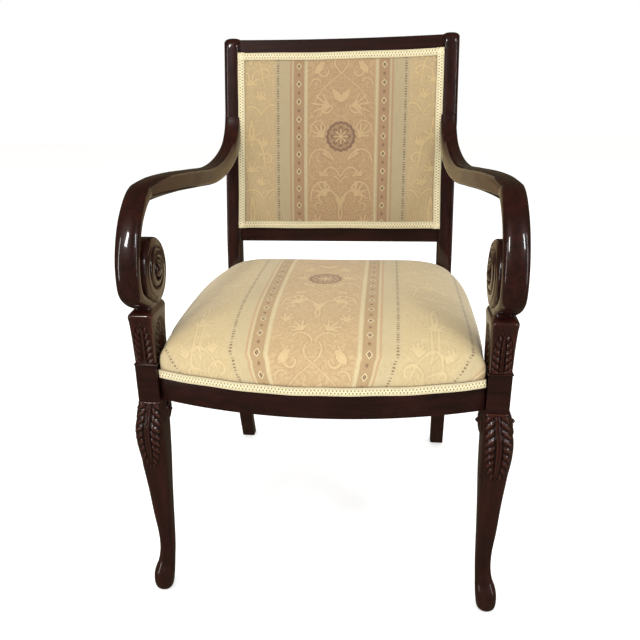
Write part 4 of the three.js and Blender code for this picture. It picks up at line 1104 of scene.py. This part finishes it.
def build_back(card):
    a, b, half, z = panel_grid(60, 50)
    x = a * half
    z = z - 2.5 * (1 - a ** 2) * b
    edges = np.stack([half - np.abs(x), z - PANEL_BOTTOM - PANEL_INSET, PANEL_TOP - PANEL_INSET - z])
    nearest = np.maximum(-9 * np.log(np.sum(np.exp(-np.maximum(edges, 0) / 9), axis=0)), 0)
    y = LIP - 0.4 - 3.6 * smooth(8, 40, nearest)
    grid = np.stack([x, y, z], axis=2)
    coords = back_cloth(x, z)
    edge = loop_of(grid)
    outward = np.sign(edge - edge.mean(0)) * np.array([1, 0, 1])
    walls = []
    for grow, depth in ((0.6, 0), (1.2, 2), (1.4, 6)):
        walls.append(edge + outward * grow)
        walls[-1][:, 1] = LIP + depth
    points, faces, cloth, _, count = pad_mesh(grid, walls, coords, [loop_of(coords)] * 3)
    pad = piece("back_pad", tilted(points), faces, damask("back_damask_shaded", SHADED_BACK_TINTS), "back_fabric",
                "back_cover", "back_foam", sharp=0, coords=cloth)
    border = [i for i in range(count) if nearest.reshape(-1)[i] < 9]
    puff(pad, border + list(range(count, len(points))), 2.5, 5)
    subdivide(pad, 2)
    add_figure(pad, card)


def build_outside_back():
    """Flat cover on the back of the panel."""
    a, b, half, z = panel_grid(24, 20)
    x = a * half
    face = PIVOT_Y + 10.3
    near = np.stack([x, np.full_like(x, face + 1.6) + 0.8 * (1 - a ** 4) * (4 * b * (1 - b)), z], axis=2)
    coords = back_cloth(x, z)
    wall = loop_of(near).copy()
    wall[:, 1] = face
    points, faces, cloth, _, _ = pad_mesh(near, [wall], coords, [loop_of(coords)])
    cover = piece("outside_back_sheet", tilted(points), faces, bpy.data.materials["back_damask_shaded"],
                  "back_fabric", "outside_back_cover", sharp=0, coords=cloth)
    subdivide(cover, 2)


# ---------- braid ----------
def braid(name, path, outward, node):
    """Gimp along a path of middle points: cords at both edges and two rows of interlaced loops."""
    path = along(path, int(np.sum(np.linalg.norm(np.diff(path, axis=0), axis=1)) / 0.95))
    steps = np.r_[0, np.cumsum(np.linalg.norm(np.diff(path, axis=0), axis=1))]
    profile = np.linspace(-1, 1, 19)
    off = np.abs(profile)
    half = GIMP_WIDTH / 2
    points, heights = [], []
    for i, (place, s) in enumerate(zip(path, steps)):
        tangent = path[min(i + 1, len(path) - 1)] - path[max(i - 1, 0)]
        tangent /= np.linalg.norm(tangent)
        out = outward(place)
        width = np.cross(out, tangent)
        width /= np.linalg.norm(width)
        cord = np.exp(-((off - 0.84) / 0.11) ** 2) * (0.8 + 0.2 * math.cos(2 * math.pi * s / 2.2))
        over = np.cos(2 * math.pi * (s / GIMP_LOOP - profile * 0.85))
        under = np.cos(2 * math.pi * (s / GIMP_LOOP + profile * 0.85 + 0.5))
        if np.cos(math.pi * s / (GIMP_LOOP / 2)) <= 0:
            over, under = under, over
        body = smooth(0.78, 0.6, off) * (0.45 + 0.5 * np.maximum(over, under * 0.7))
        height = np.clip(cord * 0.95 + body, 0, 1.1)
        ripple = 1 + 0.035 * math.cos(2 * math.pi * s / (GIMP_LOOP / 2))
        rim = np.clip((1 - off) / 0.08, 0, 1) ** 0.5
        lift = (0.5 + height * 0.5) * GIMP_THICK * rim
        face = place + np.outer(profile * half * ripple, width) + np.outer(lift, out)
        back = place + np.outer([half * 0.95, -half * 0.95], width)
        points.append(np.vstack([face, back]))
        heights.append(np.r_[height, 0, 0])
    made = piece(name, *skin(points), BRAID, "gimp", node, sharp=0)
    # the relief height, which the braid finish also uses to paint shade into the low parts
    values = np.r_[np.concatenate(heights), 0, 0].astype(np.float32)
    made.data.attributes.new("braid", "FLOAT", "POINT").data.foreach_set("value", values)


def build_seat_braids():
    middle = GIMP_BASE + GIMP_WIDTH / 2
    reach = BLOCK_INNER - 1
    x = np.linspace(-reach, reach, 80)
    centre_y = BOW_END - FRONT_BOW + BOW_RADIUS
    wave = 0.5 * np.sin(x / 37.0) + 0.35 * np.sin(x / 13.0 + 1)

    def from_bow(place):
        away = np.array([place[0], place[1] - centre_y, 0])
        return away / np.linalg.norm(away)

    front = np.stack([x, bow_y(x) - 0.3, middle + wave], axis=1)
    braid("seat_braid_front", front, from_bow, "seat_gimp_front")
    y = np.linspace(BLOCK_REAR + 1, REAR_LEG_Y - 16, 50)
    for name, side in SIDES:
        line = np.stack([side * (side_x(y) + 0.7), y, middle + 0.4 * np.sin(y / 31.0)], axis=1)
        sideways = np.array([side, 0.0, 0.0])
        braid(f"seat_braid_{name}", line, lambda place, out=sideways: out, f"seat_gimp_{name}")
    x = np.linspace(BETWEEN_POSTS - 2, 2 - BETWEEN_POSTS, 40)
    rear = np.stack([x, np.full(40, SEAT_REAR + 0.3), np.full(40, middle)], axis=1)
    braid("seat_braid_back", rear, lambda place: np.array([0, 1.0, 0]), "seat_gimp_back")


def build_panel_braid(name, level, outward, inset, node):
    """Four mitred lengths round the padded panel."""
    low, high = PANEL_BOTTOM + inset, PANEL_TOP - inset
    half = GIMP_WIDTH / 2
    foot, head = panel_edges(low) - inset, panel_edges(high) - inset
    normal = np.array([0, outward * math.cos(RAKE), -outward * math.sin(RAKE)])
    corners = [(-foot, low), (foot, low), (head, high), (-head, high)]
    inward = [("bottom", 0, 1), ("right", -1, 0), ("top", 0, -1), ("left", 1, 0)]
    for k, (label, x_in, z_in) in enumerate(inward):
        (x0, z0), (x1, z1) = corners[k], corners[(k + 1) % 4]
        share = np.linspace(0, 1, 60)
        x = mix(x0, x1, share) + x_in * half
        z = mix(z0, z1, share) + z_in * half
        if label == "top":
            z = z - 2.5 * (1 - (x / head) ** 2)
        wave = 0.35 * np.sin(np.arange(60) / 4.0 + k)
        depth = np.full(60, level + 0.25 * outward * (k % 2))
        line = np.stack([x + wave * abs(x_in), depth, z + wave * abs(z_in)], axis=1)
        braid(f"{name}_{label}", tilted(line), lambda place: normal, node)


# ---------- kept CAD nodes ----------
def dress_cad_nodes():
    slots = {row["node"]: row["material_slot"] for row in frame["record"]["subparts"]}
    for name, node in frame["nodes"].items():
        finish = SATIN if "seat_rail" in name else PLAIN.get(slots[name], WOOD["Z"])
        node.data.materials.clear()
        node.data.materials.append(finish)


# ---------- studio ----------
def build_camera():
    data = bpy.data.cameras.new("camera")
    camera = bpy.data.objects.new("camera", data)
    bpy.context.scene.collection.objects.link(camera)
    yaw, pitch, roll = 0.1306, -0.3778, -0.0248
    forward = np.array([-math.sin(yaw) * math.cos(pitch), math.cos(yaw) * math.cos(pitch), math.sin(pitch)])
    right = np.array([math.cos(yaw), math.sin(yaw), 0])
    up = np.cross(right, forward)
    c, s = math.cos(roll), math.sin(roll)
    right, up = c * right + s * up, c * up - s * right
    place = np.array([94.6, FRONT + 250 - 1178.9, 845.7]) * MM
    rows = [[*(v[k] for v in (right, up, -forward)), place[k]] for k in range(3)]
    camera.matrix_world = Matrix([*rows, [0, 0, 0, 1]])
    data.sensor_width = 36
    data.lens = 39.12
    data.shift_x, data.shift_y = 0.0341, 0.0276
    data.clip_start, data.clip_end = 0.05, 50
    bpy.context.scene.camera = camera


def area_light(name, place, aim, size, power, tint=(1, 1, 1)):
    data = bpy.data.lights.new(name, "AREA")
    data.shape = "RECTANGLE"
    data.size, data.size_y = size
    data.energy = power
    data.color = tint
    light = bpy.data.objects.new(name, data)
    bpy.context.scene.collection.objects.link(light)
    light.location = place
    light.rotation_euler = (Vector(aim) - Vector(place)).to_track_quat("-Z", "Y").to_euler()
    return light


def build_studio():
    scene = bpy.context.scene
    scene.view_settings.view_transform = "Standard"
    world = bpy.data.worlds.new("studio")
    scene.world = world
    world.use_nodes = True
    nodes, links = world.node_tree.nodes, world.node_tree.links
    nodes.clear()
    rays = nodes.new("ShaderNodeLightPath")

    def glow(colour, strength):
        made = nodes.new("ShaderNodeBackground")
        made.inputs["Color"].default_value = (*colour, 1)
        made.inputs["Strength"].default_value = strength
        return made.outputs[0]

    def choose(kind, other, chosen):
        """The chosen shader for rays of one kind, and the other for the rest."""
        made = nodes.new("ShaderNodeMixShader")
        for socket, source in zip(made.inputs, (rays.outputs[kind], other, chosen)):
            links.new(source, socket)
        return made.outputs[0]

    lit = choose("Is Glossy Ray", glow((1.0, 0.985, 0.96), 0.62), glow((0.19, 0.15, 0.10), 0.42))
    seen = choose("Is Camera Ray", lit, glow((1, 1, 1), 1.0))
    links.new(seen, nodes.new("ShaderNodeOutputWorld").inputs["Surface"])

    bpy.ops.mesh.primitive_plane_add(size=14, location=(0, 0, 0))
    floor = bpy.context.active_object
    floor.name = "floor"
    f = Finish("pale_floor")
    tone = f.noise(f.places(), 900, 2)
    pale = f.blend(tone, (0.92, 0.92, 0.92), (0.95, 0.95, 0.94))
    floor.data.materials.append(f.surface(pale, Roughness=0.9, Specular_IOR_Level=0.1,
                                          Emission_Color=(1, 1, 1, 1), Emission_Strength=0.42))
    floor.visible_glossy = False

    area_light("window_left", (-1.0, -2.0, 2.3), (0, 0, 0.5), (0.26, 0.7), 19, (1, 0.99, 0.97))
    area_light("window_right", (1.6, -1.7, 2.2), (0, 0, 0.5), (0.22, 0.7), 13, (0.92, 0.97, 1))
    area_light("tall_left", (-2.0, -1.7, 1.2), (0, 0, 1.0), (0.13, 2.1), 10, (1, 0.99, 0.97))
    area_light("tall_right", (2.3, -1.1, 1.2), (0, 0, 1.0), (0.12, 2.1), 8, (0.92, 0.97, 1))
    ceiling = area_light("ceiling", (0, -0.4, 3.2), (0, 0, 0), (3.2, 3.2), 38)
    front = area_light("front_fill", (0.2, -3.4, 1.7), (0, 0, 0.5), (2.6, 1.5), 19, (1, 0.97, 0.93))
    rear = area_light("rear_fill", (0.3, 3.2, 2.2), (0, 0, 0.5), (2.2, 1.2), 10)
    for light in (ceiling, front, rear):
        light.visible_glossy = False


build_camera()
build_studio()
dress_cad_nodes()
pair("arm_*_shaped", join(arm_band(), arm_roll()), WOOD["Y"], "arm_*", 50)
pair("front_leg_*_carved", front_leg(), CARVED, "front_leg_*", 0)
pair("front_block_*", front_block(), SATIN, "front_leg_*", 50)
pair("arm_support_*_carved", arm_support(), CARVED, "arm_support_*", 50)
pair("rear_leg_*_shaped", rear_leg(), WOOD["Z"], "rear_leg_*", 45)
build_rails()
card = figure_card()
build_seat(card)
build_back(card)
build_outside_back()
build_seat_braids()
build_panel_braid("back_braid", LIP - 0.5, -1, 0, "back_gimp")
build_panel_braid("outside_braid", PIVOT_Y + 12.2, 1, 5, "outside_back_gimp")
